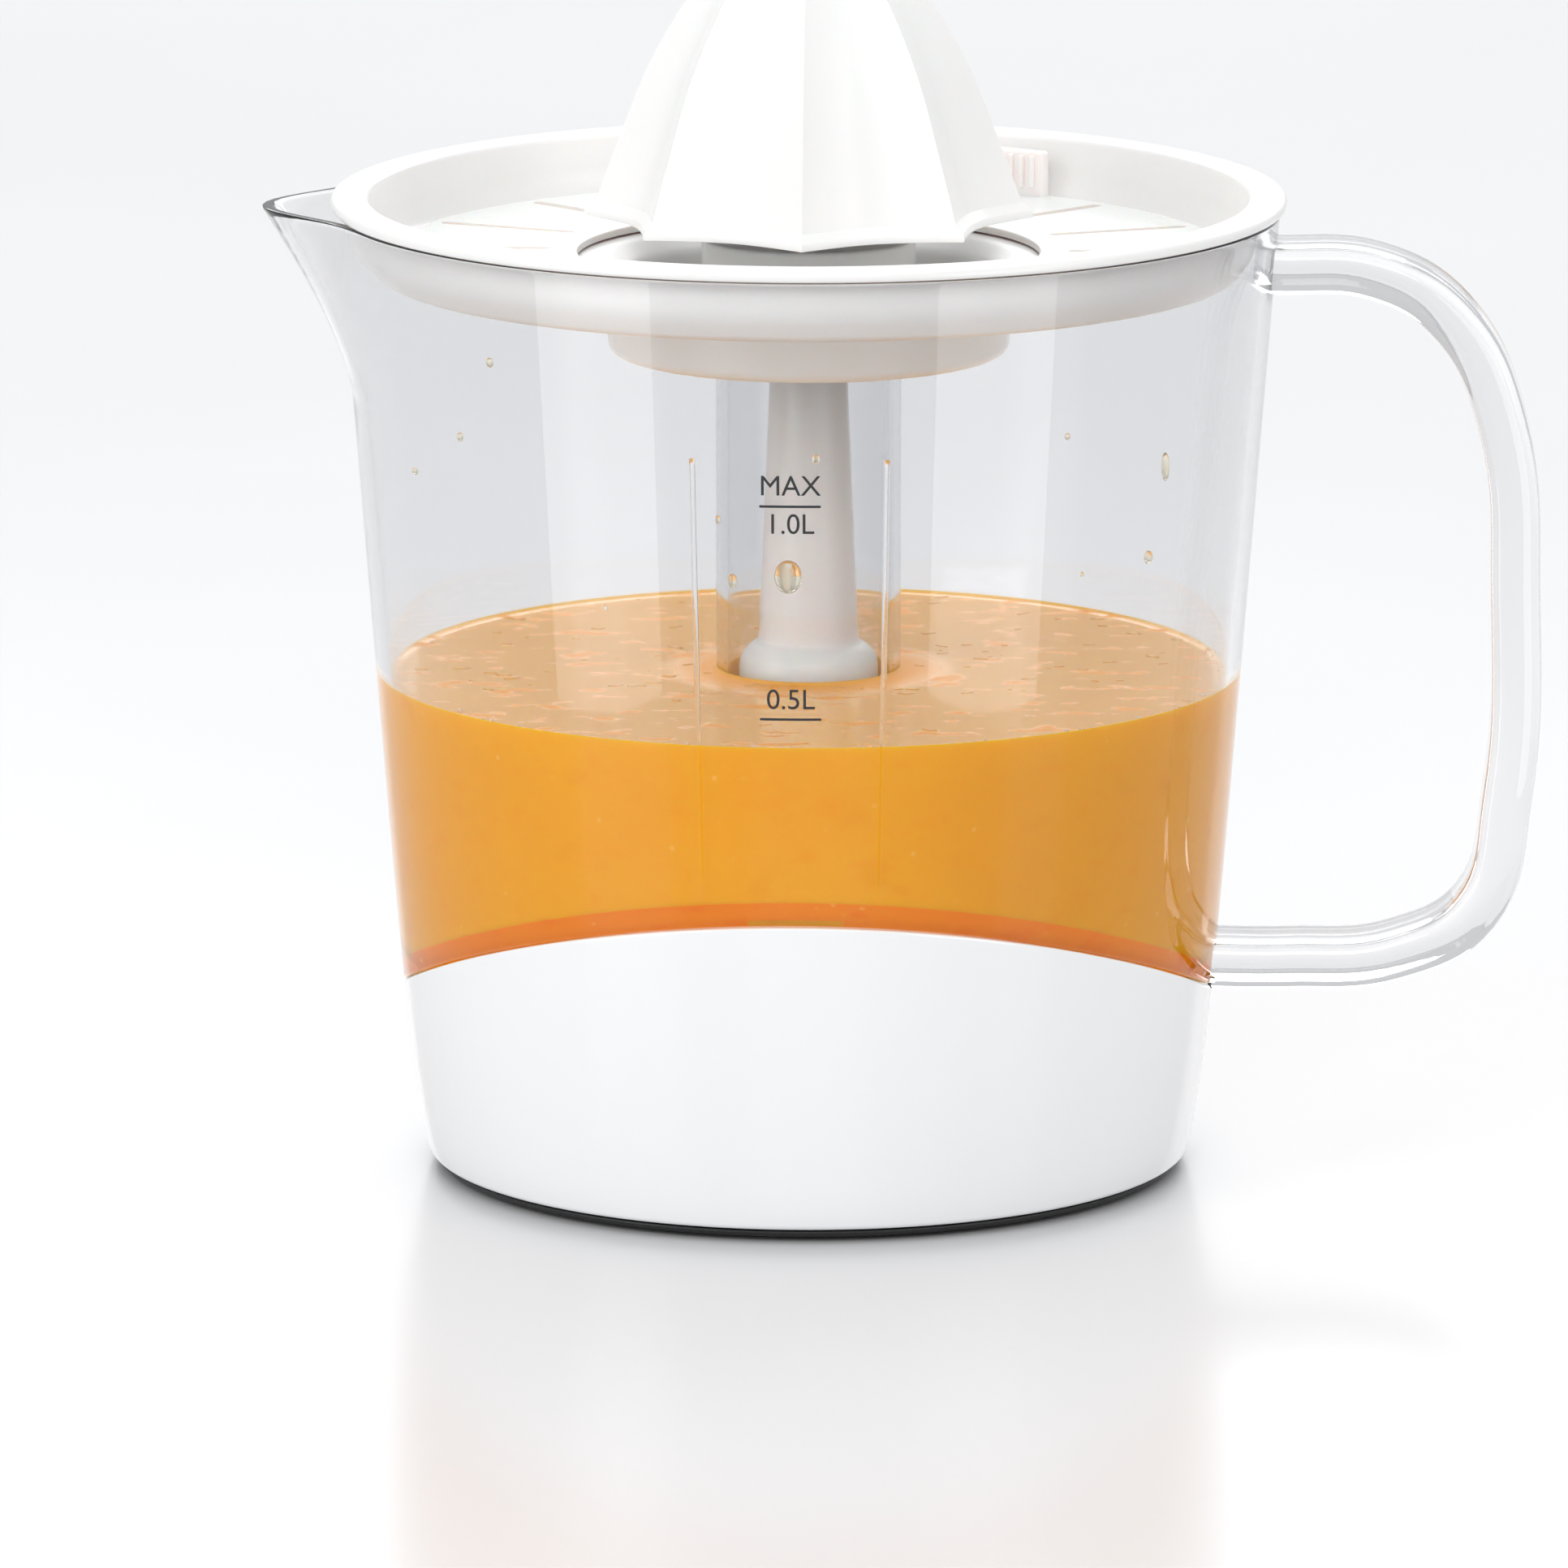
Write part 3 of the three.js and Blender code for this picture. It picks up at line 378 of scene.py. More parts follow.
# Mould texture: slow waviness and a fine bloom, in the piece's own space.
mould_texture, taken, given = new_group(
    "mould_texture",
    [("NodeSocketFloat", "Wave Size", 40.0), ("NodeSocketFloat", "Wave Depth", 0.05),
     ("NodeSocketFloat", "Bloom Size", 900.0), ("NodeSocketFloat", "Bloom Depth", 0.02)],
    [("NodeSocketFloat", "Mask"), ("NodeSocketVector", "Normal")])
where = node(mould_texture, "ShaderNodeTexCoord").outputs["Object"]
slow = node(mould_texture, "ShaderNodeTexNoise", {"Vector": where, "Scale": taken.outputs["Wave Size"]})
slow.inputs["Detail"].default_value = 3
fine = node(mould_texture, "ShaderNodeTexNoise", {"Vector": where, "Scale": taken.outputs["Bloom Size"]})
wave_bump = node(mould_texture, "ShaderNodeBump", {
    "Height": slow.outputs["Fac"], "Strength": taken.outputs["Wave Depth"]}, distance=0.002)
bloom_bump = node(mould_texture, "ShaderNodeBump", {
    "Height": fine.outputs["Fac"], "Strength": taken.outputs["Bloom Depth"],
    "Normal": wave_bump.outputs["Normal"]}, distance=0.0002)
mould_texture.links.new(slow.outputs["Fac"], given.inputs["Mask"])
mould_texture.links.new(bloom_bump.outputs["Normal"], given.inputs["Normal"])


def material(name):
    """A new material, its node tree and its Principled shader."""
    made = bpy.data.materials.new(name)
    made.use_nodes = True
    return made, made.node_tree, made.node_tree.nodes["Principled BSDF"]


def blended(tree, mask, first, second):
    """A colour that goes from the first to the second with a mask. Either may be a socket."""
    tone = node(tree, "ShaderNodeMix", {"Factor": mask}, data_type="RGBA")
    for label, colour in (("A", first), ("B", second)):
        if isinstance(colour, tuple):
            tone.inputs[label].default_value = (*colour, 1)
        else:
            tree.links.new(colour, tone.inputs[label])
    return tone.outputs["Result"]


def ranged(tree, mask, to_low, to_high, from_low=0.0, from_high=1.0):
    """A mask moved from one range of values to another."""
    made = node(tree, "ShaderNodeMapRange", {"Value": mask}, to_min=to_low, to_max=to_high,
                from_min=from_low, from_max=from_high)
    return made.outputs["Result"]


def painted(tree, surface, texture, tones, gloss):
    """Drives a shader's colour, roughness and normal with a texture group's outputs."""
    mask = texture.outputs["Mask"]
    tree.links.new(blended(tree, mask, *tones), surface.inputs["Base Color"])
    tree.links.new(ranged(tree, mask, *gloss), surface.inputs["Roughness"])
    tree.links.new(texture.outputs["Normal"], surface.inputs["Normal"])


def moulded(name, light, dark, smooth, rough, wave_size=40, wave_depth=0.05, bloom_size=900,
            bloom_depth=0.02, **shader):
    """A moulded plastic or rubber: two close tones, two close roughnesses, and mould texture."""
    made, tree, surface = material(name)
    texture = node(tree, "ShaderNodeGroup", node_tree=mould_texture)
    for label, value in (("Wave Size", wave_size), ("Wave Depth", wave_depth),
                         ("Bloom Size", bloom_size), ("Bloom Depth", bloom_depth)):
        texture.inputs[label].default_value = value
    painted(tree, surface, texture, (dark, light), (smooth, rough))
    for label, value in shader.items():
        surface.inputs[label.replace("_", " ")].default_value = value
    return made


def dress(piece, finish):
    piece.data.materials.clear()
    piece.data.materials.append(finish)


def stands_for(piece, body, slot, *replaced):
    even = piece.modifiers.new("even_shading", "WEIGHTED_NORMAL")
    even.mode = "FACE_AREA_WITH_ANGLE"
    even.keep_sharp = True
    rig.ride(piece, body)
    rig.slot(piece, slot)
    if replaced:
        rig.replaces(piece, *replaced)


shell_white = moulded("glossy_white_abs", (0.90, 0.905, 0.91), (0.86, 0.87, 0.88), 0.10, 0.16,
                      wave_size=14, wave_depth=0.04, bloom_depth=0.01, Coat_Weight=0.25)
dress(base_shell, shell_white)
stands_for(base_shell, "base", "white_abs", "base_shell")

floor_finish = moulded("pale_floor", (0.74, 0.74, 0.745), (0.725, 0.725, 0.73), 0.2, 0.27,
                       wave_size=3, wave_depth=0.0, bloom_depth=0.0)
dress(floor, floor_finish)

# ---------------------------------------------------------------- base deck
# The white deck that closes the base under the jug: a flat rim, a dome over the motor and
# gears, and a tower neck for the spindle. Moulded ABS, it drops onto a ledge in the shell.
deck_top = 29.4
dome_ends = (Vector((53.2, 31.5)), Vector((47, 50)), Vector((38, 68)), Vector((12.4, 71.5)))


def dome_line(offset, count=16):
    """Points up the dome over the motor, moved out by an offset."""
    a, b, c, d = dome_ends
    points = []
    for t in spread(0, 1, count):
        u = 1 - t
        place = a * u ** 3 + b * 3 * u * u * t + c * 3 * u * t * t + d * t ** 3
        along = ((b - a) * u * u + (c - b) * 2 * u * t + (d - c) * t * t).normalized()
        points.append((place.x + along.y * offset, place.y - along.x * offset, 0))
    return points


base_deck = turned("white_deck", [
    (61.0, 22.9, 0.3), (62.7, 22.9, 0.3), (63.3, deck_top, 0.8), (55, deck_top, 1.5), *dome_line(0),
    (12.4, 76.4, 0.8), (8.9, 76.6, 0.5), (8.9, 81.4, 0.5), (7.7, 81.4, 0.3), (7.7, 62, 0.3),
    *dome_line(-wall)[::-1][1:], (54, deck_top - wall, 0.5), (61.2, deck_top - wall, 0.5),
], 128)
dress(base_deck, shell_white)
stands_for(base_deck, "base", "white_abs", "base_deck")


# ---------------------------------------------------------------- bottom cover, feet, screws
# The black ABS cover set into the shell's foot, seen as a thin dark line above the table.
# Four rubber feet push through it and four screws hold it up to the deck's posts.
foot_ring = 47
screw_ring = 54
cover_edge = body_radius(3.2) - wall - 0.8
cover_lip = body_radius(shell_foot) - 1.2
bottom_cover = turned("black_cover", [
    (0, 0.5, 0), (8, 0.5, 0.3), (8.4, 0.9, 0.3), (cover_lip - 0.5, 0.9, 0.2), (cover_lip, 1.4, 0.3),
    (cover_lip, 1.9, 0.2), (cover_edge, 1.9, 0),
    (cover_edge, 5.5, 0.4), (cover_edge - 1.4, 5.5, 0.4), (cover_edge - 1.4, 3.2, 0.4),
    (6.4, 3.2, 0.5), (6.4, 6, 0.4), (0, 6, 0),
], 128)


def plug(name, radius, low, high, x, y):
    made = turned(name, [(0, low, 0), (radius, low, 0), (radius, high, 0), (0, high, 0)], 32)
    made.data.transform(Matrix.Translation((x * MM, y * MM, 0)))
    return made


foot_places = [(foot_ring * math.cos(a), foot_ring * math.sin(a)) for a in even_angles(4)]
screw_places = [(screw_ring * math.cos(a + math.pi / 4), screw_ring * math.sin(a + math.pi / 4))
                for a in even_angles(4)]
cut_with(bottom_cover, [plug("foot_hole", 6.3, -1, 9, x, y) for x, y in foot_places]
         + [plug("screw_hole", 1.8, -1, 9, x, y) for x, y in screw_places]
         + [plug("screw_recess", 3.3, -1, 2.4, x, y) for x, y in screw_places])
cover_black = moulded("black_textured_abs", (0.008, 0.008, 0.009), (0.004, 0.004, 0.005), 0.42, 0.56,
                      wave_size=120, bloom_size=2600, bloom_depth=0.5)
dress(bottom_cover, cover_black)
stands_for(bottom_cover, "base", "black_plastic", "bottom_cover")

foot_rubber = moulded("black_rubber", (0.035, 0.035, 0.036), (0.02, 0.02, 0.021), 0.75, 0.92,
                      wave_size=200, bloom_size=3200, bloom_depth=0.7)
for side, (x, y) in zip(("right", "back", "left", "front"), foot_places):
    pad = turned("rubber_foot_" + side, [
        (0, 0, 0), (3.2, 0, 0.2), (3.4, 0.35, 0.2), (4.4, 0.35, 0.2), (4.6, 0, 0.2), (5.6, 0, 0.5),
        (6, 0.8, 0.4), (6, 3.5, 0), (7.5, 3.5, 0.3), (7.5, 4.7, 0.3), (0, 4.7, 0),
    ], 48)
    pad.data.transform(Matrix.Translation((x * MM, y * MM, 0)))
    dress(pad, foot_rubber)
    stands_for(pad, "base", "rubber", "foot_" + side)

# The mains lead's inlet: a ribbed rubber grommet in the back of the shell.
inlet_wall = body_radius(inlet_height)
grommet = turned("inlet_grommet", [
    (3.6, inlet_wall - 5.4, 0.4), (5.9, inlet_wall - 5.4, 0.5), (5.9, inlet_wall - 3.9, 0.4),
    (4.9, inlet_wall - 3.9, 0), (4.9, inlet_wall + 1.2, 0), (6.8, inlet_wall + 1.2, 0.4),
    (6.6, inlet_wall + 2.4, 0.7), (5.2, inlet_wall + 2.9, 0.3), (3.6, inlet_wall + 3, 0.5),
], 48)
grommet.data.transform(Matrix.Translation((0, 0, inlet_height * MM)) @ Matrix.Rotation(-math.pi / 2, 4, "X"))
dress(grommet, foot_rubber)
stands_for(grommet, "base", "rubber", "cord_grommet")


# ---------------------------------------------------------------- motor
# A shaded-pole motor bolted under the gear plate: laminated iron, two coils of copper wire
# on nylon bobbins, a ferrite rotor on a steel shaft, and bronze bushes. All are bought parts.
fine_lines, taken, given = new_group(
    "fine_lines",
    [("NodeSocketVector", "Direction", None), ("NodeSocketFloat", "Lines", 400.0),
     ("NodeSocketFloat", "Depth", 0.4)],
    [("NodeSocketFloat", "Mask"), ("NodeSocketVector", "Normal")])
where = node(fine_lines, "ShaderNodeTexCoord").outputs["Object"]
along = node(fine_lines, "ShaderNodeVectorMath", {0: where, 1: taken.outputs["Direction"]},
             operation="DOT_PRODUCT")
turns = node(fine_lines, "ShaderNodeMath", {0: along.outputs["Value"], 1: taken.outputs["Lines"]},
             operation="MULTIPLY")
saw = node(fine_lines, "ShaderNodeMath", {0: turns.outputs["Value"]}, operation="PINGPONG")
saw.inputs[1].default_value = 1
grain = node(fine_lines, "ShaderNodeTexNoise", {"Vector": where}, scale=350.0)
worn = node(fine_lines, "ShaderNodeMath", {0: saw.outputs["Value"], 1: grain.outputs["Fac"]},
            operation="MULTIPLY")
line_bump = node(fine_lines, "ShaderNodeBump", {
    "Height": saw.outputs["Value"], "Strength": taken.outputs["Depth"]}, distance=0.0003)
fine_lines.links.new(worn.outputs["Value"], given.inputs["Mask"])
fine_lines.links.new(line_bump.outputs["Normal"], given.inputs["Normal"])


def lined(name, light, dark, smooth, rough, direction, pitch, depth):
    """Metal with fine parallel lines: stacked sheets, wire turns, or lathe marks."""
    made, tree, surface = material(name)
    texture = node(tree, "ShaderNodeGroup", node_tree=fine_lines)
    texture.inputs["Direction"].default_value = direction
    texture.inputs["Lines"].default_value = 2 / (pitch * MM)
    texture.inputs["Depth"].default_value = depth
    painted(tree, surface, texture, (dark, light), (rough, smooth))
    surface.inputs["Metallic"].default_value = 1
    return made


across_y = (0, 1, 0)
upwards = (0, 0, 1)
steel = lined("turned_steel", (0.66, 0.67, 0.69), (0.5, 0.51, 0.53), 0.2, 0.36, upwards, 0.35, 0.1)
sheets = lined("iron_sheets", (0.34, 0.35, 0.37), (0.16, 0.165, 0.175), 0.42, 0.6, upwards, 0.5, 0.6)
wire_turns = lined("copper_wire", (0.80, 0.36, 0.18), (0.42, 0.15, 0.06), 0.22, 0.4, across_y, 0.45, 0.9)
bronze = moulded("sintered_bronze", (0.62, 0.40, 0.17), (0.45, 0.27, 0.1), 0.3, 0.46, wave_size=160,
                 bloom_size=2400, bloom_depth=0.4, Metallic=1.0)
ferrite = moulded("ferrite", (0.05, 0.05, 0.055), (0.03, 0.03, 0.033), 0.5, 0.65, wave_size=150,
                  bloom_depth=0.4)
nylon = moulded("cream_nylon", (0.80, 0.77, 0.68), (0.74, 0.71, 0.62), 0.36, 0.48, wave_size=70,
                bloom_depth=0.15)


def finished(names, finish, edge=0.15):
    """Gives pieces that keep their exact shape a finish and softly broken edges."""
    for name in names:
        piece = nodes[name]
        for face in piece.data.polygons:
            face.use_smooth = True
        piece.data.set_sharp_from_angle(angle=math.radians(38))
        dress(piece, finish)
        broken = piece.modifiers.new("broken_edges", "BEVEL")
        broken.width = edge * MM
        broken.segments = 2
        broken.limit_method = "ANGLE"
        broken.angle_limit = math.radians(40)
        broken.harden_normals = True


sides = ("left", "right")
finished(["motor_core"], sheets)
finished(["winding_" + side for side in sides], wire_turns, 0.4)
finished(["bobbin_" + side for side in sides], nylon)
finished(["rotor_magnet"], ferrite, 0.3)
finished(["rotor_bush_lower", "rotor_bush_upper"], bronze)
finished(["rotor_shaft", "motor_bracket"] + ["motor_screw_" + side for side in sides], steel, 0.1)

# ---------------------------------------------------------------- gears and their plate
# The pressed steel plate hangs from the deck by three screws. Between it and the nylon
# cover, acetal gears slow the rotor down 36 times to the wheel that turns the spindle.
acetal = moulded("white_acetal", (0.86, 0.85, 0.80), (0.80, 0.79, 0.74), 0.26, 0.36, wave_size=90,
                 bloom_depth=0.08)
zinc_plate = moulded("zinc_plate", (0.70, 0.71, 0.72), (0.56, 0.57, 0.58), 0.28, 0.42, wave_size=220,
                     bloom_size=1800, bloom_depth=0.2, Metallic=1.0)
finished(["gear_plate"], zinc_plate, 0.2)
finished(["idler_gear", "output_gear"], acetal, 0.08)
finished(["gear_cover"], nylon, 0.25)
finished(["plate_screw_%d" % i for i in (1, 2, 3)] + ["cover_screw_%d" % i for i in (1, 2, 3, 4)], steel, 0.2)
finished(["idler_axle"], steel, 0.1)

# ---------------------------------------------------------------- drive shaft and press switch
# A flatted steel shaft slides in two bronze bushes in the deck's neck, under a rubber seal.
# Pushing a fruit down moves the nylon plunger, spring and lever, and starts the motor.
finished(["drive_shaft", "retaining_clip", "switch_lever"], steel, 0.12)
finished(["upper_bush", "lower_bush"], bronze, 0.25)
finished(["shaft_seal"], foot_rubber, 0.15)
finished(["press_plunger", "switch_button"], nylon, 0.2)
finished(["switch_body"], cover_black, 0.25)

spring_foot = 6.3
spring_low, spring_high = 7, 12.8
press_travel = 3
spring_turns = 4
spring_radius = 4.7
wire_radius = 0.5


def spring_wire():
    """A round wire wound up the spring's height."""
    skin = bmesh.new()
    steps = 24 * spring_turns
    rings = []
    for i in range(steps + 1):
        turn = 2 * math.pi * spring_turns * i / steps
        height = spring_low + (spring_high - spring_low) * i / steps
        out = Vector((math.cos(turn), math.sin(turn), 0))
        rings.append([skin.verts.new((out * (spring_radius + wire_radius * math.cos(a))
                                      + Vector((0, 0, height + wire_radius * math.sin(a)))) * MM)
                      for a in even_angles(10)])
    skinned(skin, rings)
    skin.faces.new(rings[0])
    skin.faces.new(rings[-1][::-1])
    return finish_mesh(skin, "spring_coil", 50)


spring_coil = spring_wire()
dress(spring_coil, steel)
stands_for(spring_coil, "base", "steel", "return_spring")
pressed = press_travel / (spring_high - spring_low)
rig.squash(spring_coil, "press", (0, 0, 1), (0, 0, spring_foot * MM), keep=1 - pressed)

# ---------------------------------------------------------------- spindle
# The white spindle that turns the cones, moulded in slightly milky acetal over the steel
# shaft: a bell at the foot that sheds juice clear of the neck, a long taper, a hexagon top.
hexagon_corner = 6
hexagon_low = 153.5
spindle_top = 172


def hexagon(angle, corner):
    """How far out a hexagon's edge is at an angle, from how far out its corners are."""
    beside_flat = (angle - math.pi / 6) % (math.pi / 3) - math.pi / 6
    return corner * math.cos(math.pi / 6) / math.cos(beside_flat)


def spindle_section(angle):
    top = hexagon(angle, hexagon_corner)
    return rounded([
        (9.9, 80, 0.4), (11.3, 80, 0.5), (11.3, 83.2, 1.2), (10.9, 84.8, 1.2), (9.6, 86.2, 1.4),
        (8.3, 86.9, 0.8), (8.05, 88.4, 0.8), (6.3, 130, 4), (6.02, hexagon_low - 0.6, 0.3),
        (top, hexagon_low + 0.4, 0.2), (top, spindle_top - 0.6, 0.3), (top - 0.9, spindle_top, 0.4),
        (0, spindle_top, 0), (0, 160.3, 0), (4.3, 160.3, 0.2), (4.3, 85.4, 0.4), (9.1, 85.4, 0.8),
        (9.9, 84.4, 0.5),
    ])


spindle = wound("milky_spindle", even_angles(96), spindle_section)
# The milky white is the acetal's own colour. Its pinkish warmth is a painted reflection of the orange juice.
milky_with_painted_tint = moulded("milky_acetal_painted_juice_tint", (0.93, 0.895, 0.875), (0.90, 0.86, 0.84), 0.24, 0.34, wave_size=30,
                bloom_depth=0.05, Subsurface_Weight=0.35, Subsurface_Scale=0.004)
dress(spindle, milky_with_painted_tint)
stands_for(spindle, "spindle", "milky_plastic", "spindle_tube")


# ---------------------------------------------------------------- jug
# The clear one-litre jug, one moulding in SAN: outer wall, stepped in below the arched line
# to nest in the shell, floor, dome over the motor and a tube round the spindle, with a
# spout pulled out on the left, a handle on the right and two thin ribs beside the marks.
jug_rim = 158
jug_floor = 29.8
step_in = wall + 0.3
over_dome = 0.8
tube_outside, tube_inside = 15, 13.2
spout_reach = 12.5
rib_depth = 0.75
rib_turn = 0.209
rib_half_angle = 0.0062
rib_low, rib_high = 57, 129.5
spout_start = 128
front = -math.pi / 2
rib_middle = front - 0.01


def spout_push(angle, z):
    """How far the spout moves the wall out at an angle and a height."""
    if z <= spout_start:
        return 0
    from_spout = math.pi - abs((angle + math.pi) % (2 * math.pi) - math.pi)
    rise = (z - spout_start) / (jug_rim - spout_start)
    return spout_reach * rise ** 1.4 * math.exp(-(from_spout / 0.2) ** 2)


def rib_push(angle, z):
    """How far a rib stands out from the wall at an angle and a height."""
    beside = min(abs(angle - rib_middle - rib_turn), abs(angle - rib_middle + rib_turn)) / rib_half_angle
    if beside >= 1 or not rib_low < z < rib_high:
        return 0
    ends = min(1, (z - rib_low) / 0.6, (rib_high - z) / 0.6)
    return rib_depth * math.sqrt(1 - beside * beside) * math.sqrt(ends)


def jug_section(angle):
    line = rim_height(angle)
    corner = body_radius(jug_floor) - step_in
    heights = spread(max(line, jug_floor) + 1.2, rib_low - 0.2, 4) + spread(rib_low, rib_high - 9, 14)
    heights += spread(rib_high - 7, rib_high - 1.2, 4) + [rib_high - 0.5, rib_high]
    heights += spread(132, jug_rim - 1, 12)
    outside = [(body_radius(z) + spout_push(angle, z) + rib_push(angle, z), z, 0) for z in heights]
    inner_heights = spread(jug_rim - 1, spout_start, 12)
    inner_heights += spread(120, max(line + 5.4, jug_floor + 9.4), 9)
    inside = [(body_radius(z) - wall + spout_push(angle, z), z, 0) for z in inner_heights]
    turn_up = min(jug_floor + 2.4, max(line - 0.2, jug_floor + 0.02))
    nested_out = [(body_radius(z) - step_in, z, 0)
                  for z in spread(turn_up, max(line - 0.1, turn_up + 0.01), 5)]
    parting = max(line + 0.3, turn_up + 0.03)
    nested_in = [(body_radius(z) - step_in - wall, z, 0)
                 for z in spread(max(line + 0.9, jug_floor + 6.4), jug_floor + 6, 5)]
    top_out = body_radius(jug_rim) + spout_push(angle, jug_rim)
    return rounded([
        (corner - 3, jug_floor, 0), (corner - 0.6, min(jug_floor + 0.5, turn_up - 0.005), 0.9),
        *nested_out, (body_radius(line) - step_in, parting, 0), (body_radius(line), parting, 0.4),
        *outside, (top_out, jug_rim, 0.7), (top_out - wall, jug_rim, 0.7), *inside,
        (body_radius(line + 4) - wall, max(line + 4.2, jug_floor + 8.2), 0.8), *nested_in,
        (corner - wall - 1.6, jug_floor + 2.6, 2.4), (57.6, jug_floor + wall, 0.8),
        *dome_line(over_dome + wall)[:-1], (tube_outside, 75, 1.2), (tube_outside, 79, 0),
        (tube_outside, 148, 0), (tube_outside, 150, 0.6), (tube_inside, 150, 0.6), (tube_inside, 148, 0),
        (tube_inside, 77, 0), (tube_inside, 72.6, 1), *dome_line(over_dome)[:-1][::-1],
    ], 3)


rib_angles = [rib_middle + side * rib_turn + rib_half_angle * t
              for side in (-1, 1) for t in (-1.02, -0.9, -0.6, -0.3, 0, 0.3, 0.6, 0.9, 1.02)]
jug_angles = sorted([(a - math.pi) for a in even_angles(192)] + rib_angles)
jug = wound("clear_jug", jug_angles, jug_section, 50)

handle_wide = 17
handle_deep = 8
handle_edge = 3


def handle_mesh():
    """A round-cornered bar bent into the D of the handle, its ends buried in the wall."""
    low = rim_side + 0.6 + handle_deep / 2
    high = jug_rim - 9
    route = [(body_radius(low) - 1.1, low), (78, low), (96, low + 1.5), (109, low + 9), (114, 62), (115, 95),
             (112.5, 124), (104, 141), (92, high - 1), (body_radius(high) - 1.1, high)]
    line = bpy.data.curves.new("handle_line", "CURVE")
    line.dimensions = "3D"
    spline = line.splines.new("BEZIER")
    spline.bezier_points.add(len(route) - 1)
    for point, (x, z) in zip(spline.bezier_points, route):
        point.co = (x, 0, z)
        point.handle_left_type = point.handle_right_type = "AUTO"
    line.resolution_u = 8
    holder = bpy.data.objects.new("handle_line", line)
    studio.collection.objects.link(holder)
    bpy.context.view_layer.update()
    path = [v.co.copy() for v in holder.to_mesh().vertices]
    holder.to_mesh_clear()
    bpy.data.objects.remove(holder)
    section = rounded([(handle_wide / 2 * a, handle_deep / 2 * b, handle_edge)
                       for a, b in ((1, 1), (-1, 1), (-1, -1), (1, -1))], 6)
    sideways = Vector((0, 1, 0))
    skin = bmesh.new()
    rings = []
    for i, point in enumerate(path):
        along = (path[min(i + 1, len(path) - 1)] - path[max(i - 1, 0)]).normalized()
        inward = sideways.cross(along)
        rings.append([skin.verts.new((point + sideways * across + inward * deep) * MM)
                      for across, deep in section])
    skinned(skin, rings)
    skin.faces.new(rings[0][::-1])
    skin.faces.new(rings[-1])
    return finish_mesh(skin, "handle")


def join_to(piece, other):
    combined(piece, [other], "UNION", 50)


join_to(jug, handle_mesh())


def clear_plastic(name, tint, haze, bend):
    """Clear moulded plastic that lets lamp light through to what is behind it."""
    made = moulded(name, tint, tuple(0.985 * c for c in tint), haze, haze + 0.03, wave_size=16,
                   wave_depth=0.012, bloom_depth=0.0, IOR=bend, Transmission_Weight=1.0)
    tree = made.node_tree
    through = node(tree, "ShaderNodeBsdfTransparent")
    through.inputs["Color"].default_value = (*[c ** 0.15 for c in tint], 1)
    path = node(tree, "ShaderNodeLightPath")
    mix = node(tree, "ShaderNodeMixShader", {
        0: path.outputs["Is Shadow Ray"], 1: tree.nodes["Principled BSDF"].outputs["BSDF"],
        2: through.outputs["BSDF"]})
    tree.links.new(mix.outputs["Shader"], tree.nodes["Material Output"].inputs["Surface"])
    return made


jug_clear = clear_plastic("clear_san", (0.895, 0.897, 0.904), 0.015, 1.46)
dress(jug, jug_clear)
stands_for(jug, "jug", "clear_plastic", "jug")


# ---------------------------------------------------------------- volume marks
# Thin black tampo print on the front of the jug, between the ribs: a line for a full litre
# with its two labels, and a line for half a litre. Plain sans-serif capitals and figures.
mark_turn = -0.0084
capital_height = 3.4
line_half, line_thick = 4.85, 0.4


def printed(name, outlines, faces):
    """Wraps a flat print, in millimetres across and up, onto the jug's outside."""
    skin = bmesh.new()
    points = []
    for across, z in outlines:
        angle = front + mark_turn + across / body_radius(z)
        r = (body_radius(z) + 0.04) * MM
        points.append(skin.verts.new((r * math.cos(angle), r * math.sin(angle), z * MM)))
    for face in faces:
        skin.faces.new([points[i] for i in face])
    return finish_mesh(skin, name)


def lettered(name, words, z):
    """Generic lettering as a thin print, centred, standing on a height."""
    text = bpy.data.curves.new(name, "FONT")
    text.body = words
    text.align_x = "CENTER"
    text.size = capital_height / 0.73
    text.resolution_u = 6
    holder = bpy.data.objects.new(name + "_line", text)
    studio.collection.objects.link(holder)
    shape = bpy.data.meshes.new_from_object(holder.evaluated_get(bpy.context.evaluated_depsgraph_get()))
    bpy.data.objects.remove(holder)
    outline = [(v.co.x * 0.975, v.co.y + z) for v in shape.vertices]
    return printed(name, outline, [tuple(p.vertices) for p in shape.polygons])


def ruled(name, z):
    xs = spread(-line_half, line_half, 9)
    points = [(x, z + side * line_thick / 2) for side in (-1, 1) for x in xs]
    return printed(name, points, [(i, i + 1, i + 10, i + 9) for i in range(8)])


ink = moulded("black_print", (0.012, 0.012, 0.014), (0.02, 0.02, 0.022), 0.45, 0.6, bloom_depth=0.1)
marks = [
    lettered("mark_max", "MAX", 123.9), ruled("line_litre", 122.1), lettered("mark_litre", "1.0L", 117.7),
    lettered("mark_half_litre", "0.5L", 89.1), ruled("line_half_litre", 87.4),
]
for mark in marks:
    dress(mark, ink)
    stands_for(mark, "jug", "black_plastic")


# ---------------------------------------------------------------- orange juice
# Fresh juice, nearly to the half-litre line: opaque, with pulp through it. It wets the
# jug's wall, floor, dome and tube, and climbs a little where it meets them.
juice_top = 82.0
soak = 0.12


